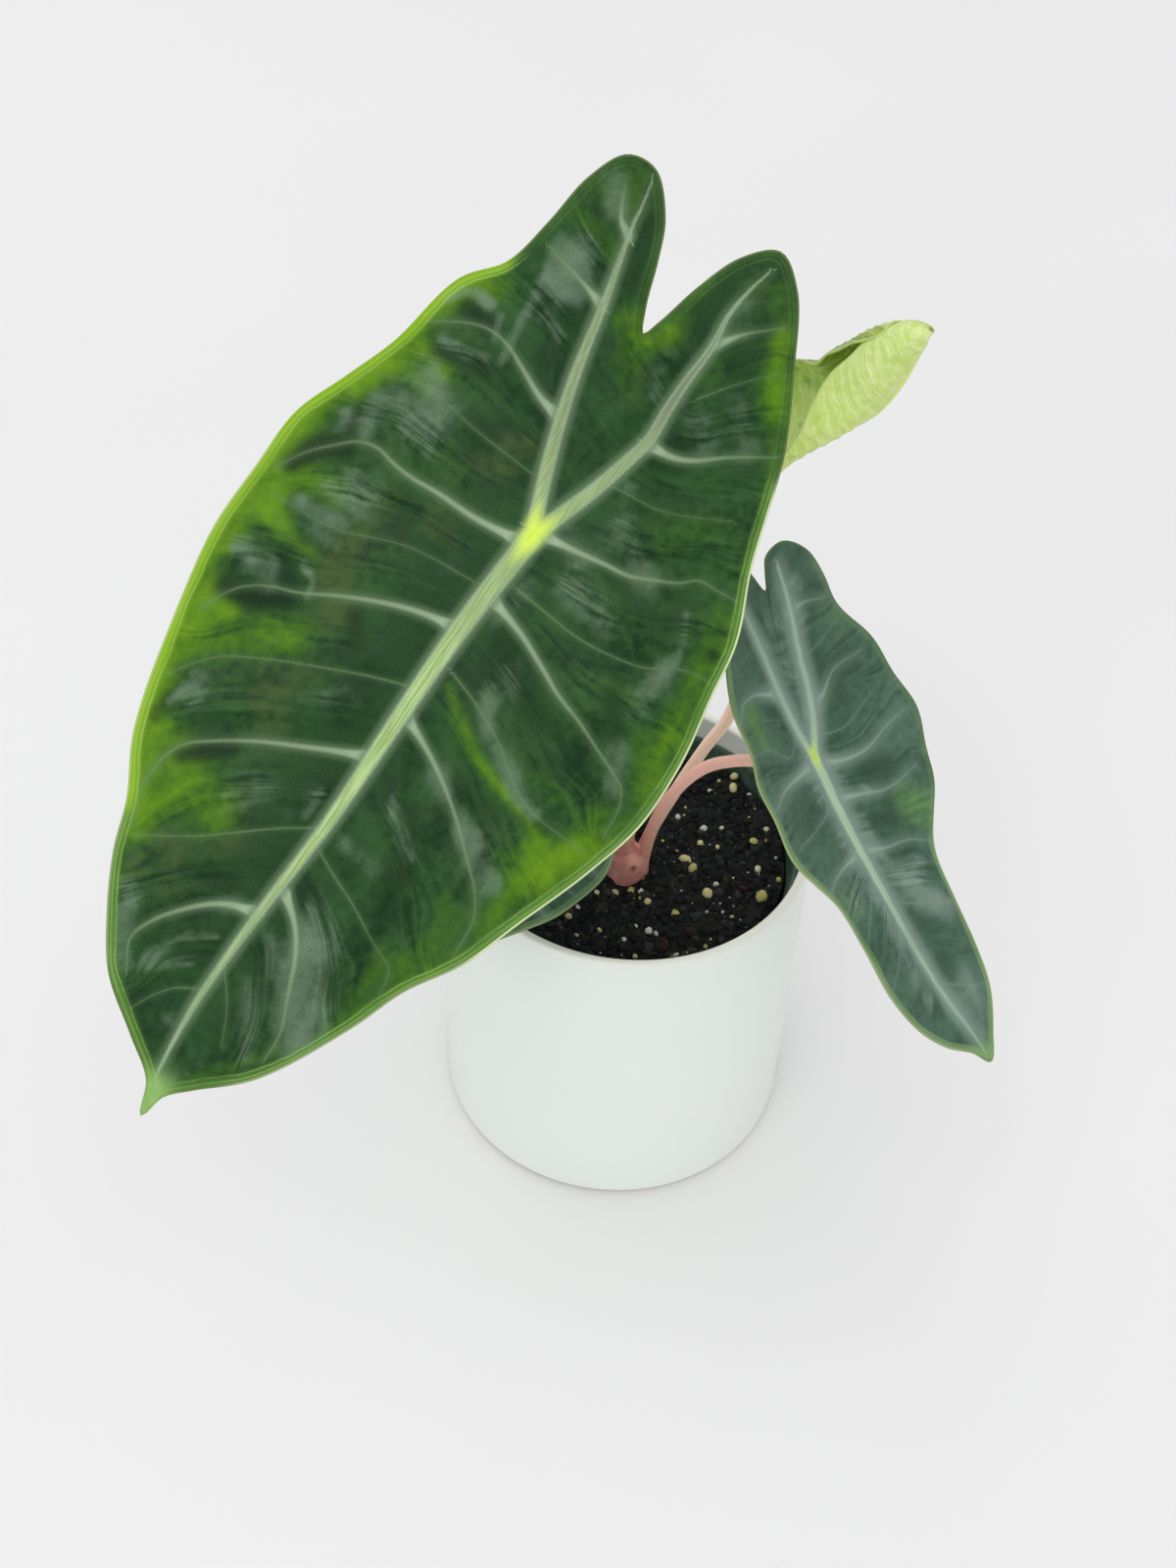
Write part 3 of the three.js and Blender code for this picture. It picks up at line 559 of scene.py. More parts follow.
def ball(rounds):
    """Corners and triangles of a unit ball made from an icosahedron halved a number of times."""
    builder, mesh = bmesh.new(), bpy.data.meshes.new("ball")
    bmesh.ops.create_icosphere(builder, subdivisions=rounds, radius=1)
    builder.to_mesh(mesh)
    builder.free()
    corners, triangles = np.empty(3 * len(mesh.vertices)), np.empty(3 * len(mesh.polygons), int)
    mesh.vertices.foreach_get("co", corners)
    mesh.loops.foreach_get("vertex_index", triangles)
    bpy.data.meshes.remove(mesh)
    return corners.reshape(-1, 3), triangles.reshape(-1, 3)


def scatter_lumps(name, places, sizes, lift, shape, finish, seed, rounds=1, smooth=True):
    """Lays a squeezed, dented and turned ball at each place, its middle lift times its size above the
    mix. A corner at unit direction d goes to middle + size * turn (squeeze * d * (1 + dent)), with
    the dent drawn for each corner."""
    draw = np.random.default_rng(seed)
    unit, triangles = ball(rounds)
    count = len(places)
    middles = np.column_stack([places, mix_height(places) + sizes * lift])
    squeeze = 1 + (draw.random((count, 1, 3)) - 0.5) * shape["squeeze"]
    squeeze = squeeze * np.array(shape.get("stretch", (1, 1, 1)))
    dent = 1 + (draw.random((count, len(unit), 1)) - 0.5) * shape["dent"]
    turns, _ = np.linalg.qr(draw.normal(size=(count, 3, 3)))
    turns = turns * np.sign(np.linalg.det(turns))[:, None, None]
    corners = np.einsum("nij,nkj->nki", turns, unit * squeeze * dent) * sizes[:, None, None]
    corners = (corners + middles[:, None]).reshape(-1, 3)
    faces = (triangles + (np.arange(count) * len(unit))[:, None, None]).reshape(-1, 3)
    piece = link_mesh(name, corners, [faces], finish, smooth)
    keep_numbers(piece, "tone", np.repeat(draw.random(count), len(unit)))
    ride_and_replace(piece, "potting_mix", "soil")


def scatter_places(count, inner, outer, seed):
    """Places spread evenly over a ring of the mix, as many as asked for."""
    draw = np.random.default_rng(seed)
    reach = np.sqrt(draw.uniform(inner**2, outer**2, count))
    turn = draw.uniform(0, 2 * np.pi, count)
    return np.column_stack([reach * np.cos(turn), reach * np.sin(turn)])


def perlite_finish():
    f = Finish("perlite")
    tone, pits = f.read("tone"), f.noise(f.place(), 1.1, 4)
    f.colour = f.mix(tone.step(0.2, 0.45), tint(214, 208, 204), tint(214, 204, 150))
    f.paint(tone.step(0.7, 0.85), tint(186, 182, 112))
    f.paint(pits.step(0.5, 0.8), tint(128, 112, 70))
    return f.done(Roughness=0.85, Specular_IOR_Level=0.2, Normal=f.bump(pits, 0.4, 0.8))


def crumb_finish():
    f = Finish("peat_crumbs")
    f.colour = f.mix(f.read("tone").step(0.55, 1.0), tint(28, 31, 32), tint(62, 61, 57))
    f.paint(f.noise(f.place(), 1.2, 3).step(0.4, 0.7), tint(36, 38, 38))
    return f.done(Roughness=0.95, Specular_IOR_Level=0.12)


def bark_finish():
    f = Finish("bark_chips")
    streak = f.noise(f.place(), 0.7, 5)
    f.colour = f.mix(streak.step(0.35, 0.7), tint(40, 28, 28), tint(74, 50, 46))
    return f.done(Roughness=0.9, Specular_IOR_Level=0.15, Normal=f.bump(streak, 0.4, 0.8))


# x, y and radius
laid_grains = written_points("""
    35,38.6,1.5 34.7,32.9,1.7 29.9,36.3,0.9 26.6,31.8,0.8 40.4,31.6,0.9 35.4,24.7,0.7 16,17.5,0.9
    24.8,14.2,1.3 31.1,16.1,1 23.9,7.8,1.3 29.3,4.8,1 18.7,-1,1.9 21.4,-4.7,1.5 41.7,9.4,1.8 46.4,16.1,1.1
    45.7,11.1,0.9 43,-2.9,1.2 39.7,-5.3,0.8 50.2,-6.6,1 44.3,-16.2,2.4 26.4,-15.5,1.8 29.3,-10.6,1.2
    34.5,-2.3,0.7 16.1,-25.3,1.7 3.3,-31.4,0.9 6.8,-19.8,1 4.4,-14.8,1.1 -4.2,-16.4,1.1 1.1,-14.3,1.3
    -10.1,-18.6,1.1 7.5,-32.7,1.2 10,-32.9,0.9 -8.5,-32.4,0.8 -7.8,-40.2,0.8 -0.4,-36.7,0.7 3.4,-43.4,1
    34.6,-23.8,0.8 37.2,-25.6,0.6 35.5,-17.7,0.7 31.7,-21,0.7 21.4,-22.3,0.7 14.5,12.9,0.6 11,7.2,0.7
    -18.9,-29.1,1.2 -15.9,-24.6,0.8 16.6,-40.6,0.9 26.1,-37.8,0.7
""")
bark_places = written_points("39.7,18.2 37.8,-10.7 20.5,-31 -25,-18 5,30 -30,20 12,-39 30,-30")
perlite = perlite_finish()
scatter_lumps(
    "laid_perlite", laid_grains[:, :2], laid_grains[:, 2], 0.45, dict(squeeze=0.5, dent=0.22), perlite,
    seed=11, rounds=3,
)
small_places = scatter_places(SMALL_GRAINS, 12, 51, seed=12)
small_sizes = np.random.default_rng(13).uniform(*SMALL_SIZES, SMALL_GRAINS)
scatter_lumps(
    "scattered_perlite", small_places, small_sizes, 0.4, dict(squeeze=0.6, dent=0.3), perlite, seed=14,
)
crumb_places = scatter_places(CRUMBS, 0.5, 51.5, seed=15)
crumb_sizes = np.random.default_rng(16).uniform(*CRUMB_SIZES, CRUMBS) ** 1.2
scatter_lumps(
    "peat_crumbs", crumb_places, crumb_sizes, 0.3, dict(squeeze=0.9, dent=0.5), crumb_finish(),
    seed=17, smooth=False,
)
chip_sizes = np.full(len(bark_places), BARK_SIZE)
scatter_lumps(
    "bark_chips", bark_places, chip_sizes, 0.25, dict(squeeze=0.4, dent=0.25, stretch=(1.5, 0.8, 0.4)),
    bark_finish(), seed=18, rounds=3,
)

# %% [markdown]
# ## Stalks
#
# Each stalk is a smooth, round, fleshy rod that leaves the crown in a broad sheath and thins
# towards its leaf. Carrying a circle along a curve makes it. The circle's plane turns with the
# curve: its first axis is Y made square to the curve, its second is square to both. The skin
# is dusty pink, paler at the leaf, with fine lengthwise streaks. Low down it is browner, and
# darker too: a painted shade near the mix.

# %% Stalks
STALKS = dict(
    large=dict(
        radius=(3.8, 2.9), sheath=5.6, sheath_end=0.12,
        path=written_points("""
            -2.4,-4,100 -2.4,-6.2,116 -2.6,-8.2,136 -4,-14,168 -12,-33,230 -26,-57,284 -33,-66.3,305
        """),
    ),
    right=dict(
        radius=(2.05, 1.9), sheath=2.9, sheath_end=0.17,
        path=written_points("""
            4.2,-7.5,100 4.6,-6.6,118 7.4,-6,136.5 13.2,-7.9,154.5 21,-13.5,171 29,-21.5,183 40,-30,193
            50.3,-34.2,198.8
        """),
    ),
    rolled=dict(
        radius=(2.1, 1.8), sheath=3.2, sheath_end=0.14,
        path=written_points("""
            3,0,100 5.5,1,120 13.5,5,140 21.5,6.8,159 28,6,175 30,5.2,193 29,5,214 26.6,5,236 24.5,5.5,257
        """),
    ),
    low=dict(
        radius=(2.2, 1.7), sheath=3.8, sheath_end=0.3,
        path=written_points("-5,-1.5,100 -7.5,-2.5,118 -16,-10,135 -28,-21.3,148.4"),
    ),
)


def tube(path, radius, sides):
    """Carries a circle of the given radius along the points of a path. With t the way ahead, n the Y axis
    made square to t, and b square to both, a corner is centre + radius (n cos a + b sin a)."""
    ahead = np.gradient(path, axis=0)
    ahead /= np.linalg.norm(ahead, axis=1, keepdims=True)
    normal = np.array([0, 1.0, 0]) - ahead * ahead[:, 1:2]
    normal /= np.linalg.norm(normal, axis=1, keepdims=True)
    beside = np.cross(ahead, normal)
    angle = np.linspace(0, 2 * np.pi, sides, endpoint=False)[None, :, None]
    ring = normal[:, None] * np.cos(angle) + beside[:, None] * np.sin(angle)
    return closed_rings(path[:, None] + ring * radius[:, None, None], path[0], path[-1])


def stalk_radius(stalk, run):
    """Radius at each fraction of the way: an even taper, and the sheath's swelling near the foot."""
    foot, top = stalk["radius"]
    swelling = ease(stalk["sheath_end"] - run, 0, stalk["sheath_end"])
    return foot + (top - foot) * run + (stalk["sheath"] - foot) * swelling


def stalk_finish(name, low, middle, top, streaks):
    f = Finish(name)
    run, streak = f.read("run"), f.noise(f.place("skin"), 3.0, 4, 0.6)
    # low down the stalk is browner and darker: partly its own colour, partly painted shade near the mix
    f.colour = f.mix(run.step(0.05, 0.45), low, middle)
    f.paint(run.step(0.55, 1.0), top)
    f.paint(streak.step(0.3, 0.75, 0, 0.35), streaks, "MULTIPLY")
    f.paint(f.noise(f.place(), 0.5, 3).step(0.66, 0.74, 0, 0.5), tint(160, 108, 90))
    return f.done(
        Roughness=0.5, Specular_IOR_Level=0.35, Normal=f.bump(streak, 0.12, 0.6),
        Subsurface_Weight=0.12, Subsurface_Radius=(0.004, 0.0015, 0.001),
    )


STALK_POINTS, SHEATH_HIDDEN = 400, 0.55


def build_stalk(name, stalk, finish, steps=150, sides=32):
    """A stalk from inside its sheath to its leaf. It widens by a tenth over about the last 7 of 200 parts of
    its way, and its radius ripples by a hundredth. Run and skin keep the way up and the turn."""
    path = smooth_path(stalk["path"], STALK_POINTS)
    first = int(STALK_POINTS * stalk["sheath_end"] * SHEATH_HIDDEN)
    path = smooth_path(path[first::8], steps)
    run = np.linspace(first / STALK_POINTS, 1, steps)
    collar = 0.1 * bell((1 - run) * 200, 7)
    radius = stalk_radius(stalk, run) * (1 + collar + 0.012 * np.sin(run * 31))
    piece = link_mesh(f"pink_stalk_{name}", *tube(path, radius, sides), finish)
    keep_numbers(piece, "run", np.concatenate([np.repeat(run, sides), [run[0], 1]]))
    angle, way = np.meshgrid(np.linspace(0, 2 * np.pi, sides, endpoint=False), run)
    skin = np.stack([np.cos(angle), np.sin(angle), way], -1).reshape(-1, 3)
    keep_numbers(piece, "skin", np.vstack([skin, [[0, 0, 0], [0, 0, 1]]]))
    ride_and_replace(piece, "stalk", f"stalk_{name}")


dusty_pink = stalk_finish(
    "dusty_pink_stalk", low=tint(206, 148, 122), middle=tint(252, 200, 186), top=tint(240, 198, 176),
    streaks=tint(214, 170, 158),
)
peach_pink = stalk_finish(
    "peach_pink_stalk", low=tint(255, 214, 188), middle=tint(255, 226, 206), top=tint(255, 232, 196),
    streaks=tint(248, 216, 200),
)
for name, stalk in STALKS.items():
    build_stalk(name, stalk, peach_pink if name == "rolled" else dusty_pink)

# %% [markdown]
# ## Crown
#
# At the foot the stalks' sheaths wrap one another in a mauve swelling that sits in the mix.
# The sheaths are swept like the stalks and fused: a voxel remesh makes one skin of them, and a
# few rounds of smoothing fill the notches between them, as growing tissue does.

# %% Crown
CROWN_MIDDLE, CROWN_MARK = (-1.4, -7.3, 0), (1.2, -12.6, 120.6)
CROWN_VOXEL, SHEATH_SWELLING = 0.45, 1.02


def crown_finish():
    f = Finish("mauve_sheath")
    at = f.place()
    blush, grain = f.noise(at, 0.16, 3), f.noise(f.place(stretch=(1, 1, 0.3)), 1.4, 4, 0.6)
    f.colour = f.mix(blush.step(0.35, 0.65), tint(188, 124, 120), tint(228, 160, 146))
    f.paint(grain.step(0.35, 0.75, 0, 0.4), tint(206, 152, 140))
    f.paint(f.noise(at, 0.6, 4).step(0.64, 0.72, 0, 0.5), tint(134, 84, 74))
    mark = f.add("ShaderNodeVectorMath", {0: at, 1: CROWN_MARK}, "Value", operation="DISTANCE")
    f.paint((mark + grain).step(1.0, 2.1, 0.85, 0), tint(110, 62, 52))
    return f.done(
        Roughness=0.5, Specular_IOR_Level=0.35, Normal=f.bump(grain, 0.12, 0.6),
        Subsurface_Weight=0.1, Subsurface_Radius=(0.004, 0.0015, 0.001),
    )


def build_crown():
    """The four sheaths and the bulb that they stand on, fused by a remesh and softened."""
    parts, points = [], 200
    for stalk in STALKS.values():
        path = smooth_path(stalk["path"], points)[: int(points * stalk["sheath_end"]) + 4]
        radius = stalk_radius(stalk, np.arange(len(path)) / points) * SHEATH_SWELLING
        parts.append(tube(path, radius, sides=24))
    bulb_profile = [(0, 110, 0), (6, 111, 4), (7.4, 117.5, 6), (5.6, 123, 3), (0, 124.5, 0)]
    bulb, bulb_faces = turned(rounded_profile(bulb_profile), sides=48)
    parts.append((bulb + CROWN_MIDDLE, bulb_faces))
    crown = link_mesh("sheathed_crown", *joined(parts), crown_finish())
    remesh = crown.modifiers.new("fuse", "REMESH")
    remesh.mode, remesh.voxel_size, remesh.use_smooth_shade = "VOXEL", CROWN_VOXEL * MM, True
    smooth = crown.modifiers.new("soften", "SMOOTH")
    smooth.iterations, smooth.factor = 6, 0.5
    keep_result(crown)
    ride_and_replace(crown, "sheath", "crown")


build_crown()

# %% [markdown]
# ## Leaves
#
# A blade is one sheet about half a millimetre thick. It is drawn flat first: its outline, and
# its veins from the point where the stalk joins, in millimetres towards the tip and across.
# A vein is written as its kind, its widths at the root and at the end, and its points, and
# the veins follow one another round the leaf. A grid of spokes from the joint to the outline
# is then lifted into shape by a formula: folded and arched across, drooping at the ends,
# quilted between the veins and waved at the margin. Close to a vein the colours change within
# half a millimetre, finer than the grid, so the corners keep smooth numbers instead of
# colours, such as the distance to the nearest vein with its sign, and the material turns
# those into crisp lines.

# %% The flat drawings
def written_lines(text):
    """Reads lines with semicolons between. Each is a few words and numbers, then the line's points."""
    lines = []
    for line in text.split(";"):
        words = line.split()
        head = [word if word.isalpha() else float(word) for word in words if "," not in word]
        lines.append((*head, written_points(" ".join(words[len(head):]))))
    return lines


LARGE = dict(
    at=(-33.5, -67.5, 307.5), heading=-129, dip=36.5, roll=30, fold=0, arch=8, half_width=68, reach=175,
    tip_drop=14, lobe_reach=100, lobe_drop=7, quilt=2, quilt_width=7, wave=1.8, waves=11, flare=1,
    outline=written_points("""
        -59,-5.5 -65.5,-9 -77,-13 -87,-17.5 -96,-26.5 -95,-34.5 -84.5,-39.5 -69.5,-41.5 -55,-44.5 -44,-52
        -22,-57 -7,-62 8,-68 26.5,-68.5 46,-68.5 71.5,-64 98.5,-56.5 114,-48.5 127.5,-44 143,-36 155,-27.5
        165,-14 172.5,-4 181.5,0 174,2 168,7.5 156.5,19.5 132,32.5 116.5,38.5 101.5,47.5 84,53.5 62,61.5
        46.5,65.5 27.5,65 8,62 -6,59.5 -24.5,52 -40.5,46.5 -57,41 -75.5,31 -91,21 -97,12 -90,4.5 -77,-0.5
        -64.5,-3.5
    """),
    veins=written_lines("""
        rib 4 0.3 0,0 -13.5,-5.5 -26.5,-10 -38.5,-13.5 -49.5,-16 -59.5,-18 -71.5,-21 -79.5,-23 -86,-24
        -93,-25.5;
        vein 0.9 0.4 -77.5,-22.5 -80,-26.5 -86.5,-30;
        vein 1.3 0.5 -59,-19 -60.5,-24 -62,-30.5 -64,-37.5;
        vein 1.7 0.4 -29,-13 -30.5,-18.5 -34,-26 -37,-33 -37.5,-39 -36,-43.5 -31,-52;
        thread 0.5 0.3 -13,-9 -14,-26 -16,-44 -12,-56;
        vein 2.1 0.35 3,-3 4.5,-15 4.5,-26 5,-34 4.5,-40 3.5,-45 5,-50.5 9,-55 14.5,-60 21.5,-64;
        thread 0.5 0.3 18,-6 20,-24 27,-44 28,-60;
        vein 1.9 0.35 30.5,-4 31.5,-10 33.5,-17 37,-25.5 41,-33.5 45.5,-41.5 48,-48 51.5,-53.5 56,-57
        62,-59.5;
        thread 0.9 0.5 49.5,-5 53,-14.5 58.5,-27 63.5,-37.5 70,-48.5 75.5,-53.5 81.5,-57.5;
        vein 1.8 0.35 70.5,-4 74,-11.5 78,-19.5 83,-29 89,-38 93.5,-43.5 98,-46 103,-47 110,-47 119,-44;
        thread 0.9 0.5 93,-4 98.5,-12 105.5,-20.5 112.5,-29 121,-42;
        vein 1.9 0.5 120,-6 122,-11.5 125.5,-16.5 131.5,-22 137.5,-26 144,-28 152,-24;
        thread 0.8 0.4 145,-6 148,-11 152.5,-14.5 158.5,-17.5;
        rib 5.6 0.4 0,0 30,-2 60,-2.2 90,-2.2 121,-4 137,-4.5 150,-4.5 170,-2.5 181,0;
        thread 0.7 0.3 137,-3 145,3 153.5,7;
        vein 1.9 0.5 111.5,-1 117,5.5 123.5,10 133,14 143,18 151.5,18.5;
        thread 0.9 0.4 97.5,0 100.5,6.5 104.5,15.5 109,23.5 114,32.5 120,33.5;
        vein 1.7 0.35 56.5,0 61,9.5 65.5,17 71,24.5 78,32.5 84,39 90.5,43 100,44;
        thread 0.9 0.4 40.5,3 44,13 49,23 55,31 58.5,39 59.5,48.5 59.5,56;
        vein 1.9 0.35 19.5,2 22.5,12 26.5,21 30,28.5 32.5,36.5 35.5,44 38.5,51.5 40.5,55.5 44.5,58 53,59;
        thread 0.9 0.5 13.5,5 14.5,16 15,24 14,33.5 11.5,43 7.5,49 5.5,54.5 5,59.5;
        vein 2 0.35 -1.5,2 -3,11.5 -4.5,19.5 -5.5,26 -8,31.5 -11.5,38 -15,42 -15.5,47 -16,52.5;
        thread 0.5 0.3 -22,10 -24,24 -32,40;
        vein 1.9 0.5 -36,12 -37,18.5 -39.5,23.5 -45.5,30.5 -52.5,40.5;
        thread 0.6 0.3 -53,15.5 -61,21 -70,28.5;
        vein 1.1 0.4 -67,11.5 -73.5,16 -81,23.5;
        rib 4.2 0.3 0,0 -18.5,6.5 -30,9.5 -37,11 -46,10.5 -55,10.5 -66.5,11 -75.5,10 -84.5,11 -91,12.5
    """),
)
RIGHT = dict(
    at=(51.5, -35, 200.5), heading=-43, dip=40.5, roll=2, fold=16, arch=0, half_width=34, reach=105,
    tip_drop=7, lobe_reach=60, lobe_drop=-20, quilt=1.2, quilt_width=4.5, wave=0.9, waves=9, flare=0.8,
    outline=written_points("""
        -51,3.5 -57.5,-0.5 -64,-6 -64.5,-12 -58,-18 -47,-21 -33,-24 -17.5,-25.5 -4.5,-28 8.5,-31 19.5,-31
        30,-28 41,-23.5 55,-21.5 72,-20.5 86.5,-15.5 97,-7.5 104,1 110,5.5 102.5,10 90,15.5 76.5,17.5
        60,18.5 45,20 34,24.5 22,31 7,35 -6,35.5 -22,32 -37,25.5 -46,23 -55.5,18 -61.5,10 -60,5 -56,4.2
    """),
    veins=written_lines("""
        rib 2.8 1 0,-0.5 -12,-1.5 -25,-2.5 -38,-4 -48,-7 -56,-10;
        vein 1.6 0.5 -22.5,-3.5 -25,-9 -26.8,-14 -26.5,-19.5 -23,-23;
        thread 0.6 0.3 -8,-3 -5,-11 -11,-18 -12,-25;
        vein 1.9 0.6 1.5,-4 1.5,-13 2,-20 4.5,-27;
        thread 0.8 0.4 15,-5 16.5,-14 18,-26;
        vein 1.5 0.5 31.5,-4 31.5,-12 32.5,-20 35,-26;
        thread 0.9 0.4 41,-4 45,-10 54,-19;
        thread 0.6 0.3 56,-4 64,-10 70,-18;
        rib 4.2 0.6 0,-0.5 18,-2.2 31,-2.8 49,-2.4 64,-1.5 82,0.5 98,3.5 109,5.4;
        thread 0.6 0.3 78,0 84,7 88,14;
        thread 0.8 0.4 50,-1 55,7 60,16;
        vein 1.4 0.4 32,-1 35,6 37,14 41,20;
        vein 1.6 0.4 14,-1 17,7 20,15 19,26;
        vein 1.7 0.5 2,0 5.5,8 6.5,16 4,24 2.5,31;
        thread 0.7 0.3 -5,4 -3,12 -7,24;
        vein 1.2 0.4 -13,6 -15,12 -19.5,18 -20,27;
        thread 0.6 0.3 -27,8 -29,16 -32,24;
        vein 0.9 0.4 -42,9.5 -42,15 -40,21;
        rib 2.8 0.9 0,-0.5 -7,4 -14,6.5 -26,8.5 -37.5,9.3 -47,9.3 -56,8
    """),
)
LOW = dict(
    at=(-29, -22, 150), heading=-118, dip=14, roll=0, fold=6, arch=2, half_width=28, reach=60, tip_drop=6,
    lobe_reach=28, lobe_drop=2, quilt=0.8, quilt_width=5, wave=0.8, waves=7, flare=0.6,
    outline=written_points("""
        -11,-0.5 -18,-3.5 -25,-8 -26,-13.5 -18,-18 -8,-23 5,-27 18,-26 32,-22 44,-16 52,-9 60,-4 53,1 44,7
        34,15 24,22.5 12,27 2,26.5 -8,22 -16,15.5 -22,11 -22.5,6.5 -17,2.5
    """),
    veins=written_lines("""
        rib 2.2 0.8 0,0 -12,-5 -23,-11;
        vein 1.2 0.4 1,0 5,-13 8,-24;
        thread 0.7 0.3 9,0 15,-13 18,-23;
        vein 1.2 0.4 18,0 26,-11 31,-20;
        thread 0.6 0.3 30,-1 37,-9 43,-14;
        rib 3.2 0.7 0,0 28,-0.5 54,-3.5 59.5,-4;
        thread 0.6 0.3 30,0 34,7 38,11;
        vein 1.2 0.4 18,0 25,10 28,18;
        thread 0.7 0.3 9,0 15,12 18,22;
        vein 1.2 0.4 1,0 5,13 8,24;
        rib 2.2 0.8 0,0 -11,4 -21,9
    """),
)
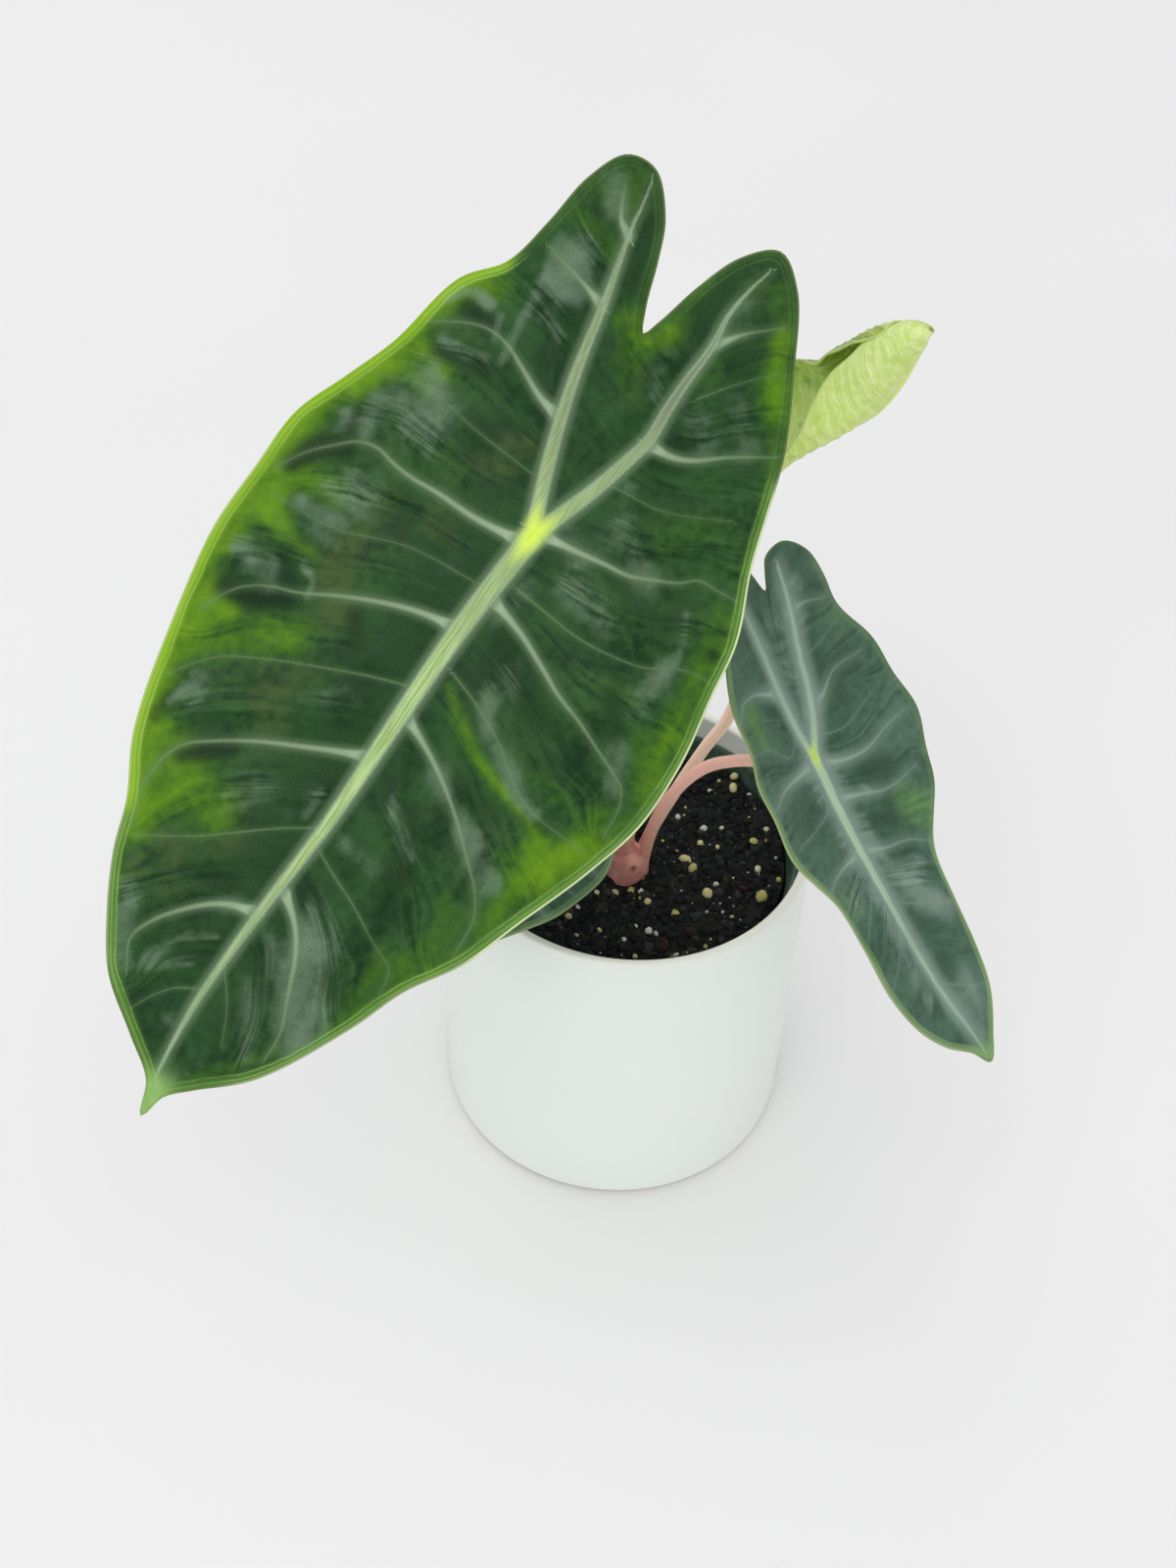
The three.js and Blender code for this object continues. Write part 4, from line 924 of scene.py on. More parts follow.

# %% [markdown]
# The patches of paint are drawn the same way, as soft strokes: how strong, how broad, and
# where they run. Lime shows where the blade is thin and young, along the margin and between
# the vein ends. Brown is a faint olive flush. The pale grey-green strokes are painted
# highlights, the shine on the crests of the quilting, and the darkest green strokes are
# painted shadow in the hollows, so the highlight strokes also lift the sheet and the shadow
# strokes sink it. The rim strokes say where the margin is banded lime or pale, and where its
# cut edge is painted cream, a painted highlight where the edge catches the light.

# %% Strokes of colour
LARGE["strokes"] = dict(
    lime="""
        0.9 6 -45,-51 -20,-59 10,-67 45,-68 75,-62 105,-53 118,-46; 0.5 3 105,-52 135,-40 160,-21 172,-3;
        0.7 4 -24,-52 -22,-42; 0.75 5 -16,-56 -6,-58; 0.6 4 -17,-50 -16,-44; 0.75 5 22,-62 28,-60; 0.5 5
        17,-50 20,-56; 0.4 4 20,-58 21,-46; 0.7 4 33,-62 34,-54; 0.45 3 34,-54 35,-45; 0.35 3 28,-62
        32,-58; 0.5 3 40,-62 46,-63; 0.9 4.5 58,-60 59,-54; 0.6 4 60,-61 68,-60; 0.6 6 70,-55 64,-46
        58,-36; 0.4 4 56,-44 52,-34; 0.4 4 78,-59 86,-57; 0.8 4.5 94,-52 104,-49; 0.75 6 96,-44 106,-40
        112,-44; 0.6 7 100,-36 104,-30; 0.45 5 100,-26 106,-24; 0.5 4 114,-44 120,-41; 0.3 5 -5,-30
        -3,-25; 0.4 5 -42,-50 -48,-42; 0.3 4 -84,-36 -84,-33; 0.4 3 -75,-36 -73,-28 -71,-23; 0.3 6 -92,-30
        -86,-26; 0.6 5 -60,-10 -57,-5 -62,0; 0.35 4 -80,-1 -64,0; 0.35 5 -50,-4 -44,-2; 0.3 4 -62,15
        -58,15; 0.5 4 -78,25 -70,28 -64,33; 0.35 4 -88,18 -84,20; 0.4 6 -66,30 -62,34; 0.35 5 -30,38
        -24,34; 0.3 5 -20,26 -17,30; 0.4 5 -10,52 -2,54; 0.5 4 4,55 16,57; 0.25 3 8,32 10,40; 0.65 4.5
        22,58 38,60; 0.3 4 28,52 32,54; 0.3 3 20,38 20,46; 0.7 2.2 44,4 50,12 55,20 58,30 61,40 64,46;
        0.35 3 50,36 52,46; 0.9 6 62,55 70,49; 0.6 5 50,55 58,58; 0.6 4 66,44 72,54; 0.55 4 78,48 90,46;
        0.4 5 72,40 76,46; 0.4 4 90,34 94,38; 0.45 5 102,38 112,34; 0.45 3.5 117,29 126,29; 0.3 4 108,24
        112,28; 0.4 2.4 -80,24 -60,38 -40,45 -10,57 20,64 50,63 85,52 120,36 150,20 170,2
    """,
    rim_lime="1 6 -52,-46 -44,-52 -20,-58 8,-69 46,-69 80,-62 112,-49",
    rim_pale="""
        0.9 6 108,-52 127,-45 155,-28 166,-14 178,-1; 0.85 5 176,2 156,20 116,39 84,54; 0.85 5 84,54 46,66
        8,63 -24,53 -44,46; 0.15 6 -57,41 -91,21 -97,12 -77,-0.5 -60,-5 -87,-17 -96,-30 -69,-42
    """,
    # painted highlight: where the cut edge catches the light it is painted cream
    rim_lit_edge="""
        1 6 -40,47 -24,53 8,63 46,67 84,55 96,50; 0.4 5 100,49 132,33 160,18; 0.3 5 20,-70 100,-57 150,-32
    """,
    grey="0.95 20 -52,10 -92,12; 0.5 18 -30,-10 -90,-25; 0.3 14 -25,5 22,-1; 0.3 14 118,-4 176,-2",
    # painted highlights: the shine on the crests of the quilting
    silver="""
        0.75 6 -66,-31 -58,-29; 0.6 1.5 -57,-34 -55,-29 -57,-25; 0.5 2 -48,-29 -46,-22; 0.45 1.6 -56,-34
        -44,-33 -32,-31; 0.7 1.8 -43,-42 -43,-48 -38,-52; 0.5 2 -29,-47 -29,-40 -31,-35; 0.5 1.2 -42,-38
        -36,-36; 0.4 4 -88,-34 -82,-30; 0.55 5 -19,-46 -14,-36; 0.55 4 -10,-47 -8,-36; 0.6 3 -6,-52 2,-50;
        0.6 2 0,-57 5,-56; 0.3 4 -4,-42 -2,-34; 0.45 4 13,-46 14,-40; 0.5 3 19,-50 20,-40; 0.65 2.2 26,-54
        25,-42; 0.35 3 30,-50 30,-40; 0.6 3.5 44,-60 47,-54; 0.6 1.3 39,-44 41,-40 45,-39; 0.35 3 42,-52
        48,-48; 0.6 3.5 78,-50 82,-49; 0.5 1.5 82,-52 87,-53; 0.3 5 63,-20 60,-16; 0.2 4 86,-10 94,-12;
        0.4 1.5 84,-8 92,-8; 0.3 6 92,-22 98,-26; 0.15 6 10,-12 25,-14; 0.5 4 134,-35 146,-30 152,-26; 0.4
        1.6 131,-10 136,-17 146,-22; 0.4 2 140,-12 147,-20 149,-24; 0.3 3 150,-10 156,-8; 0.3 4 122,-12
        120,-6; 0.75 6 122,12 134,17 142,22; 0.5 5 132,22 140,24; 0.5 3 112,6 120,12; 0.4 3 136,4 146,10
        154,14; 0.3 4 160,4 168,2; 0.3 3 122,2 130,8; 0.55 3 40,12 48,20 54,30; 0.6 2.5 57,34 59,40; 0.45
        4 64,14 72,26; 0.55 4.5 74,32 80,40; 0.45 2.5 76,8 86,20; 0.35 3 92,4 94,14; 0.35 6 112,8 116,16;
        0.35 5 6,16 8,28; 0.3 6 -6,10 2,16; 0.4 5 10,47 20,47; 0.3 1.6 -6,44 2,48 12,48; 0.45 4 34,50
        42,54; 0.3 4 30,14 36,18; 0.3 4 12,6 22,4; 0.35 5 -12,20 -6,34; 0.35 3 -24,14 -16,17; 0.35 5
        -50,16 -44,24; 0.3 5 -58,24 -50,34; 0.3 4 -80,12 -74,16; 0.3 3 -58,3 -46,6
    """,
    brown="""
        0.45 5 14,-36 28,-36; 0.5 6 34,-38 46,-30; 0.4 5 12,-20 10,-24; 0.5 4 -18,-14 -16,-20; 0.45 4
        -10,-14 -8,-22; 0.4 6 72,-34 80,-26; 0.35 6 60,-28 66,-32; 0.4 6 98,-26 106,-20; 0.35 4 118,-36
        122,-30; 0.4 2.5 128,-28 126,-22; 0.4 3 124,-40 130,-36; 0.3 5 -50,0 -42,1; 0.3 5 -86,-28 -80,-30;
        0.3 5 -88,10 -84,16; 0.25 6 112,-24 116,-30
    """,
    # painted shadow: the darkest hollows and folds of the quilting
    deep="""
        0.8 3.5 8,-52 12,-58 19,-61; 0.85 3.8 55,-58 53,-50 48,-43; 0.7 3.5 41,-50 44,-46; 0.8 3 97,-43
        92,-38 88,-34; 0.6 3.5 -26,-46 -28,-34; 0.5 4 -4,-53 2,-55; 0.4 4 10,-32 18,-28; 0.45 3 42,-26
        48,-22; 0.6 3 86,-54 92,-54; 0.4 6 -16,-24 -10,-26; 0.35 5 84,-40 88,-44; 0.7 3.5 -39,-46 -38,-38;
        0.4 4 -52,-26 -50,-22; 0.4 4 -60,-24 -56,-22; 0.5 3 -85,-20 -68,-15; 0.35 5 -80,6 -62,5; 0.35 3
        -80,20 -66,18; 0.3 8 -60,22 -46,36; 0.5 3 126,-16 131,-19; 0.5 4 140,-14 136,-8; 0.4 3 118,-14
        120,-26; 0.4 3 124,5 130,4; 0.4 4 134,8 146,6; 0.4 4 122,20 128,24; 0.5 6 28,10 38,28; 0.4 5 -8,42
        0,42; 0.5 4 22,40 30,46; 0.4 6 46,36 42,44; 0.5 4 76,14 90,22; 0.4 5 94,18 100,26; 0.4 5 -6,22
        0,34; 0.4 4 62,20 66,32; 0.35 12 10,-12 60,-12 110,-12
    """,
    tip="1 4.5 173,-1 182,0",
)
# As on the large leaf: the shine strokes are painted highlights, the darkest strokes painted shadow, and the
# cream rim strokes a painted highlight on the lit edge.
RIGHT["strokes"] = dict(
    lime="0.45 6 -22,-18 -16,-20; 0.5 7 26,18 32,22; 0.3 5 38,-20 44,-18; 0.25 4 -40,20 -30,24",
    silver="""
        0.65 4 0,-5 30,-6.5 60,-5; 0.5 3 5,3 40,3 48,8; 0.55 5 44,10 50,6 60,14; 0.45 5 60,-6 80,-8; 0.4 6
        84,8 96,6; 0.35 4 -48,12 -38,12; 0.8 1.6 16,9 18,10; 0.35 5 36,-10 42,-18; 0.3 5 -20,4 -44,1
    """,
    rim_lime="0.3 5 -30,-25 8,-32 30,-29",
    rim_pale="0.9 5 -40,-24 8,-32 41,-24 72,-21 96,-9 112,6 90,16 45,20; 0.3 5 34,25 7,36 -22,32 -50,21",
    rim_lit_edge="0.6 5 -20,-26 8,-32 41,-24 72,-21 96,-9 112,6 90,16 40,21",
    grey="0.5 14 -20,-2 -52,-7; 0.4 14 -20,7 -52,8; 0.4 16 60,-2 104,4",
    brown="0.3 4 80,6 92,8; 0.2 3 6,-4 20,-4.5",
    deep="""
        0.6 5 12,12 14,18; 0.6 4 26,6 28,12; 0.6 4 38,6 40,12; 0.4 5 56,3 62,6; 0.4 4 74,5 80,6; 0.35 5
        10,-14 12,-22; 0.4 4 -26,14 -10,16
    """,
    tip="0.4 4 106,5 112,6",
)
# As on the large leaf: the shine strokes are painted highlights, the darkest strokes painted shadow, and the
# cream rim strokes a painted highlight on the lit edge.
LOW["strokes"] = dict(
    lime="0.2 4 0,-24 20,-24",
    rim_lime="0.1 4 0,-27 20,-26",
    rim_pale="0.5 5 0,-27 32,-22 60,-4 34,15 2,27",
    rim_lit_edge="0.4 5 0,-27 32,-22 60,-4 34,15 2,27",
    grey="0.3 12 -5,0 -22,0",
    silver="0.4 4 4,6 24,6; 0.4 4 4,-6 24,-6",
    brown="0.2 5 30,6 40,4",
    deep="0.4 6 10,16 20,14",
    tip="0.4 4 56,-4 62,-4",
)
for title, leaf in (("large", LARGE), ("right", RIGHT), ("low", LOW)):
    leaf["strokes"] = {colour: written_lines(text) for colour, text in leaf["strokes"].items()}
    print(f"{title} leaf: {len(leaf['veins'])} veins, {sum(map(len, leaf['strokes'].values()))} strokes")

# %% [markdown]
# The next cell measures each grid point against a drawn line. The nearest point of every
# straight bit is found for all grid points at once, and the closest bit wins. The sign says
# on which side of the line the point lies. Where two veins are equally far the sign jumps, so
# the unsigned distance is kept as well and masks that place.

# %% Measuring against drawn lines
KINDS = ("rib", "vein", "thread")
FAR_AWAY, FLARE_LENGTH, CHUNKS = 99.0, 2.2, 40


def nearest_on_line(flat, line):
    """For every flat point, the distance to a drawn line, the side it lies on (+1 left, -1 right) and how
    far along the line its nearest point is, from 0 to 1."""
    start, step = line[:-1], np.diff(line, axis=0)
    length = np.linalg.norm(step, axis=1)
    offset = flat[:, None] - start
    share = np.clip((offset * step).sum(2) / length**2, 0, 1)
    offset = offset - share[..., None] * step
    distance = np.linalg.norm(offset, axis=2)
    best = distance.argmin(1)
    row = np.arange(len(flat))
    cross = step[best, 0] * offset[row, best, 1] - step[best, 1] * offset[row, best, 0]
    reached = np.concatenate([[0], np.cumsum(length)])[best] + share[row, best] * length[best]
    return distance[row, best], np.sign(cross), reached / length.sum()


def beyond_spine(flat, veins):
    """True where a point lies on the left of the spine that the first rib and the midrib make together."""
    first, middle = [points for kind, _, _, points in veins if kind == "rib"][:2]
    spine = np.vstack([first[::-1], middle[1:]])
    return flat[:, 1] < np.interp(flat[:, 0], spine[:, 0], spine[:, 1])


def measure_veins(flat, veins, flare):
    """The numbers that the leaf finish reads. For each kind of vein: the signed distance to the nearest one,
    its plain distance and its half width there. A side vein flares by e to the -(gap / 2.2) at its rib.
    Flow numbers the side veins round the leaf and blends between neighbours on the same side of the
    spine by the cube of nearness, so a pattern on it runs along the veins."""
    everywhere = np.ones(len(flat))
    numbers = {kind: [FAR_AWAY * everywhere, FAR_AWAY * everywhere, 1 * everywhere] for kind in KINDS}
    total, weight = 0 * everywhere, 1e-9 * everywhere
    on_left, passed = beyond_spine(flat, veins), 0
    for order, (kind, root, end, points) in enumerate(veins):
        distance, side, run = nearest_on_line(flat, smooth_path(points, count=36))
        half = (root + (end - root) * run ** (1.25 if kind == "rib" else 0.6)) / 2
        signed, plain, width = numbers[kind]
        nearer = distance - half < plain - width
        for row, values in ((signed, side * distance), (plain, distance), (width, half)):
            row[nearer] = values[nearer]
        passed += kind == "rib"
        nearness = (kind != "rib") * (on_left == (passed < 2)) / (distance**3 + 0.3)
        total += order * nearness
        weight += nearness
    gap = np.maximum(numbers["rib"][1] - numbers["rib"][2], 0)
    numbers["vein"][2] += flare * np.exp(-gap / FLARE_LENGTH)
    return numbers, total / weight


def stroke_strength(flat, strokes):
    """How strongly soft strokes cover each point. One stroke covers strength times a bell of the distance,
    as wide as its breadth, and each further stroke covers a share of what is still bare."""
    bare = np.ones(len(flat))
    for strength, breadth, points in strokes:
        distance, _, _ = nearest_on_line(flat, smooth_path(points, count=8))
        bare *= 1 - strength * bell(distance, breadth)
    return 1 - bare


# %% [markdown]
# The blade's height formula is the one that shapes the solid, with a finer quilt: each vein
# lies in a furrow, the thin ones in a shallow one. The midrib stands up from its furrow as a
# low crest on the face and a rounded keel below.

# %% Lifting a blade into shape
def leaf_axes(leaf):
    """The point where the stalk joins, and the directions of the tip, of the left-to-right side and of the
    face, from the compass heading and dip of the tip and the roll of the face about it."""
    heading, dip, roll = (radians(leaf[angle]) for angle in ("heading", "dip", "roll"))
    tip = np.array([np.cos(dip) * np.cos(heading), np.cos(dip) * np.sin(heading), -np.sin(dip)])
    upright = np.array([0, 0, 1]) - tip * tip[2]
    upright /= np.linalg.norm(upright)
    level = np.cross(upright, tip)
    face = upright * np.cos(roll) + level * np.sin(roll)
    return np.array(leaf["at"], float), tip, np.cross(face, tip), face


def blade_height(leaf, flat, outward, numbers, flow, paint):
    """Height of the blade's middle: a soft fold along the midrib, an arch across, a droop that grows with
    the square of the distance towards the tip and the lobes, a quilt that falls away into the veins
    as 1 less a bell, crests under the lime strokes and under the strokes of painted highlight,
    hollows under the strokes of painted shadow, a fine ripple that runs along the veins, and waves
    that grow with the cube of the way out."""
    along, across = flat.T
    fold = np.tan(radians(leaf["fold"])) * (np.hypot(across, 3) - 3)
    arch = leaf["arch"] * (across / leaf["half_width"]) ** 2
    tip_drop = leaf["tip_drop"] * (along / leaf["reach"]) ** 2
    drop = np.where(along > 0, tip_drop, leaf["lobe_drop"] * (along / leaf["lobe_reach"]) ** 2)
    main = np.minimum(numbers["rib"][1], numbers["vein"][1])
    quilt = leaf["quilt"] * (1 - bell(main, leaf["quilt_width"]))
    quilt -= 0.3 * leaf["quilt"] * bell(numbers["thread"][1], 0.35 * leaf["quilt_width"])
    pucker = 0.5 * leaf["quilt"] * (lumps(flat, 1.5 * leaf["quilt_width"], 5) - 0.5)
    ripple = 0.22 * leaf["quilt"] * np.sin(4.6 * np.pi * flow) * ease(outward, 0.35, 0.8) * ease(main, 0.5, 3)
    crests = 0.7 * leaf["quilt"] * (paint["silver"] - paint["deep"] + 0.4 * paint["lime"])
    quilt = (quilt + pucker + ripple + crests) * ease(outward, 0, 0.45) * (1 - outward**6)
    wave = leaf["wave"] * outward**3 * np.sin(leaf["waves"] * np.arctan2(across, along) + 1)
    return fold - arch - drop + quilt + wave


def crest(numbers, kind, height):
    """A rounded ridge over each vein of a kind: height times the half width, as a bell across it."""
    _, plain, half = numbers[kind]
    return height * half * bell(plain, half + 0.05)


def build_blade(name, leaf, finish, slot, node, spokes, rings, half_thick=0.3, rim_bulge=0.25):
    """The face and the underside are the same polar grid, set apart by the blade's thickness along the
    face direction, and a ring of corners pushed out between them rounds the cut edge."""
    at, tip, side, face = leaf_axes(leaf)
    edge = smooth_path(leaf["outline"], spokes, closed=True)
    reach = 1 - (1 - np.linspace(0, 1, rings + 1)[1:]) ** 1.25
    flat = np.vstack([[[0, 0]], (reach[:, None, None] * edge).reshape(-1, 2)])
    outward = np.concatenate([[0], np.repeat(reach, spokes)])
    numbers, flow = measure_veins(flat, leaf["veins"], leaf["flare"])
    paint = {colour: stroke_strength(flat, strokes) for colour, strokes in leaf["strokes"].items()}
    middle = blade_height(leaf, flat, outward, numbers, flow, paint)
    top = middle + half_thick + crest(numbers, "rib", 0.22) - crest(numbers, "vein", 0.1)
    under = middle - half_thick - crest(numbers, "rib", 0.75) - crest(numbers, "vein", 0.7)
    under = under - crest(numbers, "thread", 0.4)

    count, spoke = len(flat), np.arange(spokes)
    outer = slice(count - spokes, count)
    push = np.roll(edge, -1, 0) - np.roll(edge, 1, 0)
    push = np.column_stack([push[:, 1], -push[:, 0]]) / np.linalg.norm(push, axis=1, keepdims=True)
    sheets = [(flat, top), (flat, under), (edge + rim_bulge * push, middle[outer])]
    corners = np.vstack([at + f[:, :1] * tip + f[:, 1:] * side + h[:, None] * face for f, h in sheets])
    inner = grid_faces(rings, spokes, wrap=True, start=1)
    rim_top, rim_under, rim = count - spokes + spoke, 2 * count - spokes + spoke, 2 * count + spoke
    pairs = (rim_top, rim), (rim, rim_under)
    bands = [np.stack([a, b, np.roll(b, -1), np.roll(a, -1)], -1) for a, b in pairs]
    poles = fan(0, 1 + spoke), fan(count, count + 1 + spoke, flip=True)
    piece = link_mesh(name, corners, [inner[:, ::-1], poles[0], inner + count, poles[1], *bands], finish)

    loop = np.vstack([edge, edge[:1]])[::2]
    rows = tuple(enumerate(("signed", "plain", "half")))
    kept = {f"{kind}_{part}": numbers[kind][row] for kind in KINDS for row, part in rows}
    kept["margin"] = np.concatenate([nearest_on_line(part, loop)[0] for part in np.array_split(flat, CHUNKS)])
    kept["flat"] = np.column_stack([flat, 0 * outward])
    kept["flow"] = np.column_stack([flow, numbers["rib"][1], 0 * outward])
    for key, values in (kept | paint).items():
        keep_numbers(piece, key, np.concatenate([values, values, values[outer]]))
    keep_numbers(piece, "underside", np.repeat([0, 1, 0.5], [count, count, spokes]))
    ride_and_replace(piece, slot, node)


# %% [markdown]
# ## Leaf finish
#
# One recipe paints all three open leaves, with the colours of each leaf given to it. It goes
# from the ground colour outwards: mottled green with streaks that follow the veins, the
# strokes of lime and brown, the painted shadow in the hollows and the painted highlights on
# the crests, then the veins from the thinnest to the broadest, the margin with its two pale
# lines and the painted highlight on its cut edge, and last the paler underside.

# %% Leaf finish
def vein_cover(f, kind, spread, soft):
    """1 on the veins of a kind, widened by spread, falling to 0 over soft millimetres. The signed distance
    is smooth through the vein, so its edge stays crisp, and the plain one masks where the sign jumps."""
    half = f.read(f"{kind}_half") + spread
    line = (abs(f.read(f"{kind}_signed")) - half).step(-soft / 2, soft / 2, 1, 0)
    return line * (f.read(f"{kind}_plain") - half).step(1.6, 2.6, 1, 0)


def leaf_finish(name, t):
    """Paints an open leaf. The dictionary t holds its colours, and a few of its widths and strengths."""
    f = Finish(name)
    flat = f.place("flat")
    cloud, mottle, fuzz = f.noise(flat, 0.06), f.noise(flat, 0.35, 3, 0.55), f.noise(flat, 1.6, 3, 0.6)
    streak = f.noise(f.place("flow", (1.1, 0.016, 1)), 3.2, 3, 0.55)
    brush = f.noise(f.place("flow", (2.6, 0.03, 1)), 3.2, 1)
    ragged = streak.centred(0.6) + cloud.centred(0.4) + mottle.centred(0.5) + brush.centred(0.3)

    # the ground, lighter away from the ribs
    ground = cloud + streak.centred(0.8) + mottle.centred(0.6)
    f.colour = f.mix(ground.step(0.2, 0.8), t["deep"], t["green"])
    outer = f.read("flow", "Vector").part("Y").step(4, 36, 0.15, 0.7)
    f.paint(outer * (brush.centred(0.7) + streak + mottle.centred(0.6)).step(0.2, 0.9), t["light"])

    # the strokes, among them painted shadow in the hollows, then the painted highlights on the crests, and
    # the dust
    for stroke, low, high, most, shade in (
        ("brown", 0.05, 0.95, 0.8, "brown"), ("lime", 0.0, 0.8, 0.9, "lime_shade"),
        # the deep strokes paint shadow into the hollows of the quilting
        ("lime", 0.4, 1.35, 1.0, "lime"), ("deep", 0.05, 0.95, 0.9, "deepest"),
    ):
        amount = (f.read(stroke) + ragged).step(low, high, 0, most)
        f.paint(amount * f.read(stroke).step(0.02, 0.3), t[shade])
    # painted highlights: a pale grey-green shine over the crests of the quilting
    sheen_cover = (f.read("silver") + ragged + brush.centred(0.9)).step(0.0, 1.1, 0, 0.9)
    f.paint(sheen_cover * f.read("silver").step(0.02, 0.35) * fuzz.step(0.2, 0.75, 0.65, 1), t["silver"])
    f.paint((fuzz + streak.centred(0.3)).step(0.45, 0.85, 0, t["dust"]), t["halo"])

    # the veins: threads, side veins and ribs
    soft_fuzz, fringe = fuzz.centred(0.5), f.noise(flat, 3.2, 2, 0.7).centred(1.6)
    f.paint(vein_cover(f, "thread", 0.5, 2.0) * 0.15, t["halo"])
    f.paint(vein_cover(f, "thread", -0.05, 0.4) * fuzz.step(0.3, 0.7, 0.25, 0.6), t["thread"])
    for kind, reach, share in (("vein", 1.3, 1.2), ("rib", 1.6, 1.6)):
        half = f.read(f"{kind}_half")
        beside = f.read(f"{kind}_plain") - half - soft_fuzz
        glow = (beside + fringe).step(-0.2, t["glow"] * reach, t["haze"] * share, 0)
        f.paint(glow * half.step(0.2, 0.8, 0.3, 1), t["halo"])
        if kind == "vein":
            body = vein_cover(f, kind, soft_fuzz * 0.8, 0.9) * half.step(0.12, 0.7, 0.5, 0.9)
            f.paint(body, f.mix(half.step(0.2, 0.6), t["thread"], t["vein"]))
            body = vein_cover(f, kind, soft_fuzz * 0.6 - 0.3, 0.7) * half.step(0.4, 1.3, 0.1, 0.9)
            f.paint(body, t["rib_edge"])
    f.paint(vein_cover(f, "rib", soft_fuzz, 0.9) * fuzz.step(0.2, 0.8, 0.55, 0.95), t["rib_edge"])
    strand = f.noise(f.place("flat", (0.06, 1.8, 1)), 1.2)
    core = f.mix(strand.step(0.35, 0.65), t["rib"], t["rib_light"])
    f.paint(vein_cover(f, "rib", soft_fuzz * 0.5 - 0.5, 0.8), f.mix(f.read("grey"), core, t["rib_grey"]))
    away = f.add("ShaderNodeVectorMath", {0: flat}, "Value", operation="LENGTH")
    star = away * 0.75 + f.read("rib_plain") * 1.3 + fuzz.centred(2.5)
    f.paint(star.step(t["spot_size"] * 0.1, t["spot_size"] * 1.7, 1, 0), t["spot"])

    # the margin: a band, two pale lines, and the cut edge, painted cream as a painted highlight where it
    # catches the light
    margin, rim_lime = f.read("margin"), f.read("rim_lime")
    rim = rim_lime.math("MAXIMUM", f.read("rim_pale"))
    wander = cloud.centred(2.2) + mottle.centred(0.5)
    band = (margin + wander).step(t["band"] * 0.4, t["band"] * 1.6, 0.85, 0)
    f.paint(band * rim, f.mix(rim_lime.step(0.25, 0.7), t["margin"], t["margin_lime"]))
    for share, strength in ((0.45, 0.4), (1, 0.5)):
        off = abs(margin + wander * share - t["band"] * share)
        patchy = (cloud + fuzz.centred(0.5)).step(0.3, 0.6, 0.4 * strength, strength)
        f.paint(off.step(0.05, 0.4, 1, 0) * patchy * rim, t["margin_line"])
    edge = f.mix(rim_lime, t["edge"], t["margin_lime"])
    f.paint(margin.step(0.2, 0.5, 0.9, 0), f.mix(f.read("rim_lit_edge"), edge, t["cut_edge"]))
    f.paint(f.read("tip") * mottle.step(0.2, 0.8, 0.7, 0.95), t["tip"])

    under = f.mix(cloud.step(0.3, 0.7), t["under"], t["under_light"])
    under = f.mix(vein_cover(f, "vein", 0.1, 0.8) * 0.7, under, t["under_vein"])
    under = f.mix(vein_cover(f, "rib", 0.1, 0.8), under, t["under_rib"])
    f.paint(f.read("underside").step(0.6, 0.9), under)
    rough = (streak + mottle.centred(0.6)).step(0.3, 0.7, 0.34, 0.5)
    relief = streak * 0.8 + mottle * 0.4 + fuzz * 0.15
    return f.done(Roughness=rough, Specular_IOR_Level=0.14, Normal=f.bump(relief, 0.6, 0.5))


def written_tints(text):
    """Reads names that are each followed by a colour, and mixes the colours."""
    words = text.split()
    return {name: tint(*map(int, shade.split(","))) for name, shade in zip(words[::2], words[1::2])}


# The pale grey-green of the crests is a painted highlight, the darkest green a painted shadow in the hollows,
# and the cream of the cut edge a painted highlight.
DARK_LEAF = written_tints("""
    deepest 6,36,12 deep 12,48,18 green 32,74,30 light 62,100,50 lime_shade 60,104,14 lime 110,154,12
    brown 74,86,42 silver 112,134,112 halo 98,124,90 vein 128,150,118 thread 100,130,82
    rib_edge 152,176,144 rib 144,174,104 rib_light 182,208,146 rib_grey 114,126,104 spot 216,242,92
    margin 92,138,58 margin_lime 134,178,24 margin_line 166,198,112 edge 92,114,58 cut_edge 218,230,176
    under 118,146,108 under_light 136,162,122 under_vein 156,182,132 under_rib 176,198,146 tip 146,188,108
""") | dict(glow=1.6, haze=0.5, spot_size=5.4, band=2.3, dust=0.14)
GREY_LEAF = DARK_LEAF | written_tints("""
    deepest 34,58,44 deep 52,80,62 green 76,106,86 light 96,124,106 lime_shade 92,132,74 lime 116,154,78
    brown 92,100,92 silver 136,154,144 halo 126,148,136 vein 136,158,146 thread 120,144,128
    rib_edge 150,170,158 rib 158,186,150 rib_light 184,206,178 rib_grey 146,166,154 spot 196,222,104
    margin 110,146,90 margin_lime 140,168,90 margin_line 150,176,126 edge 92,116,84 cut_edge 176,190,140
    under 130,152,130 under_light 146,168,142
""") | dict(glow=2.6, haze=0.6, spot_size=3, band=1.5)
# the low leaf takes the grey leaf's colours with darker greens: painted shade, for it lies under the large
# leaf
SHADED_LOW_LEAF = GREY_LEAF | written_tints("""
    deepest 30,52,38 deep 44,70,52 green 60,88,66 light 74,102,80
""") | dict(spot_size=2.4)
for name, leaf, finish, slot, node, spokes, rings in (
    ("blade_dark_large", LARGE, leaf_finish("dark_leaf", DARK_LEAF), "leaf_dark", "blade_large", 460, 96),
    ("blade_grey_right", RIGHT, leaf_finish("grey_leaf", GREY_LEAF), "leaf_grey", "blade_right", 380, 76),
    ("blade_grey_low", LOW, leaf_finish("low_leaf_shaded", SHADED_LOW_LEAF), "leaf_low", "blade_low", 240, 44),
):
    build_blade(name, leaf, finish, slot, node, spokes, rings)

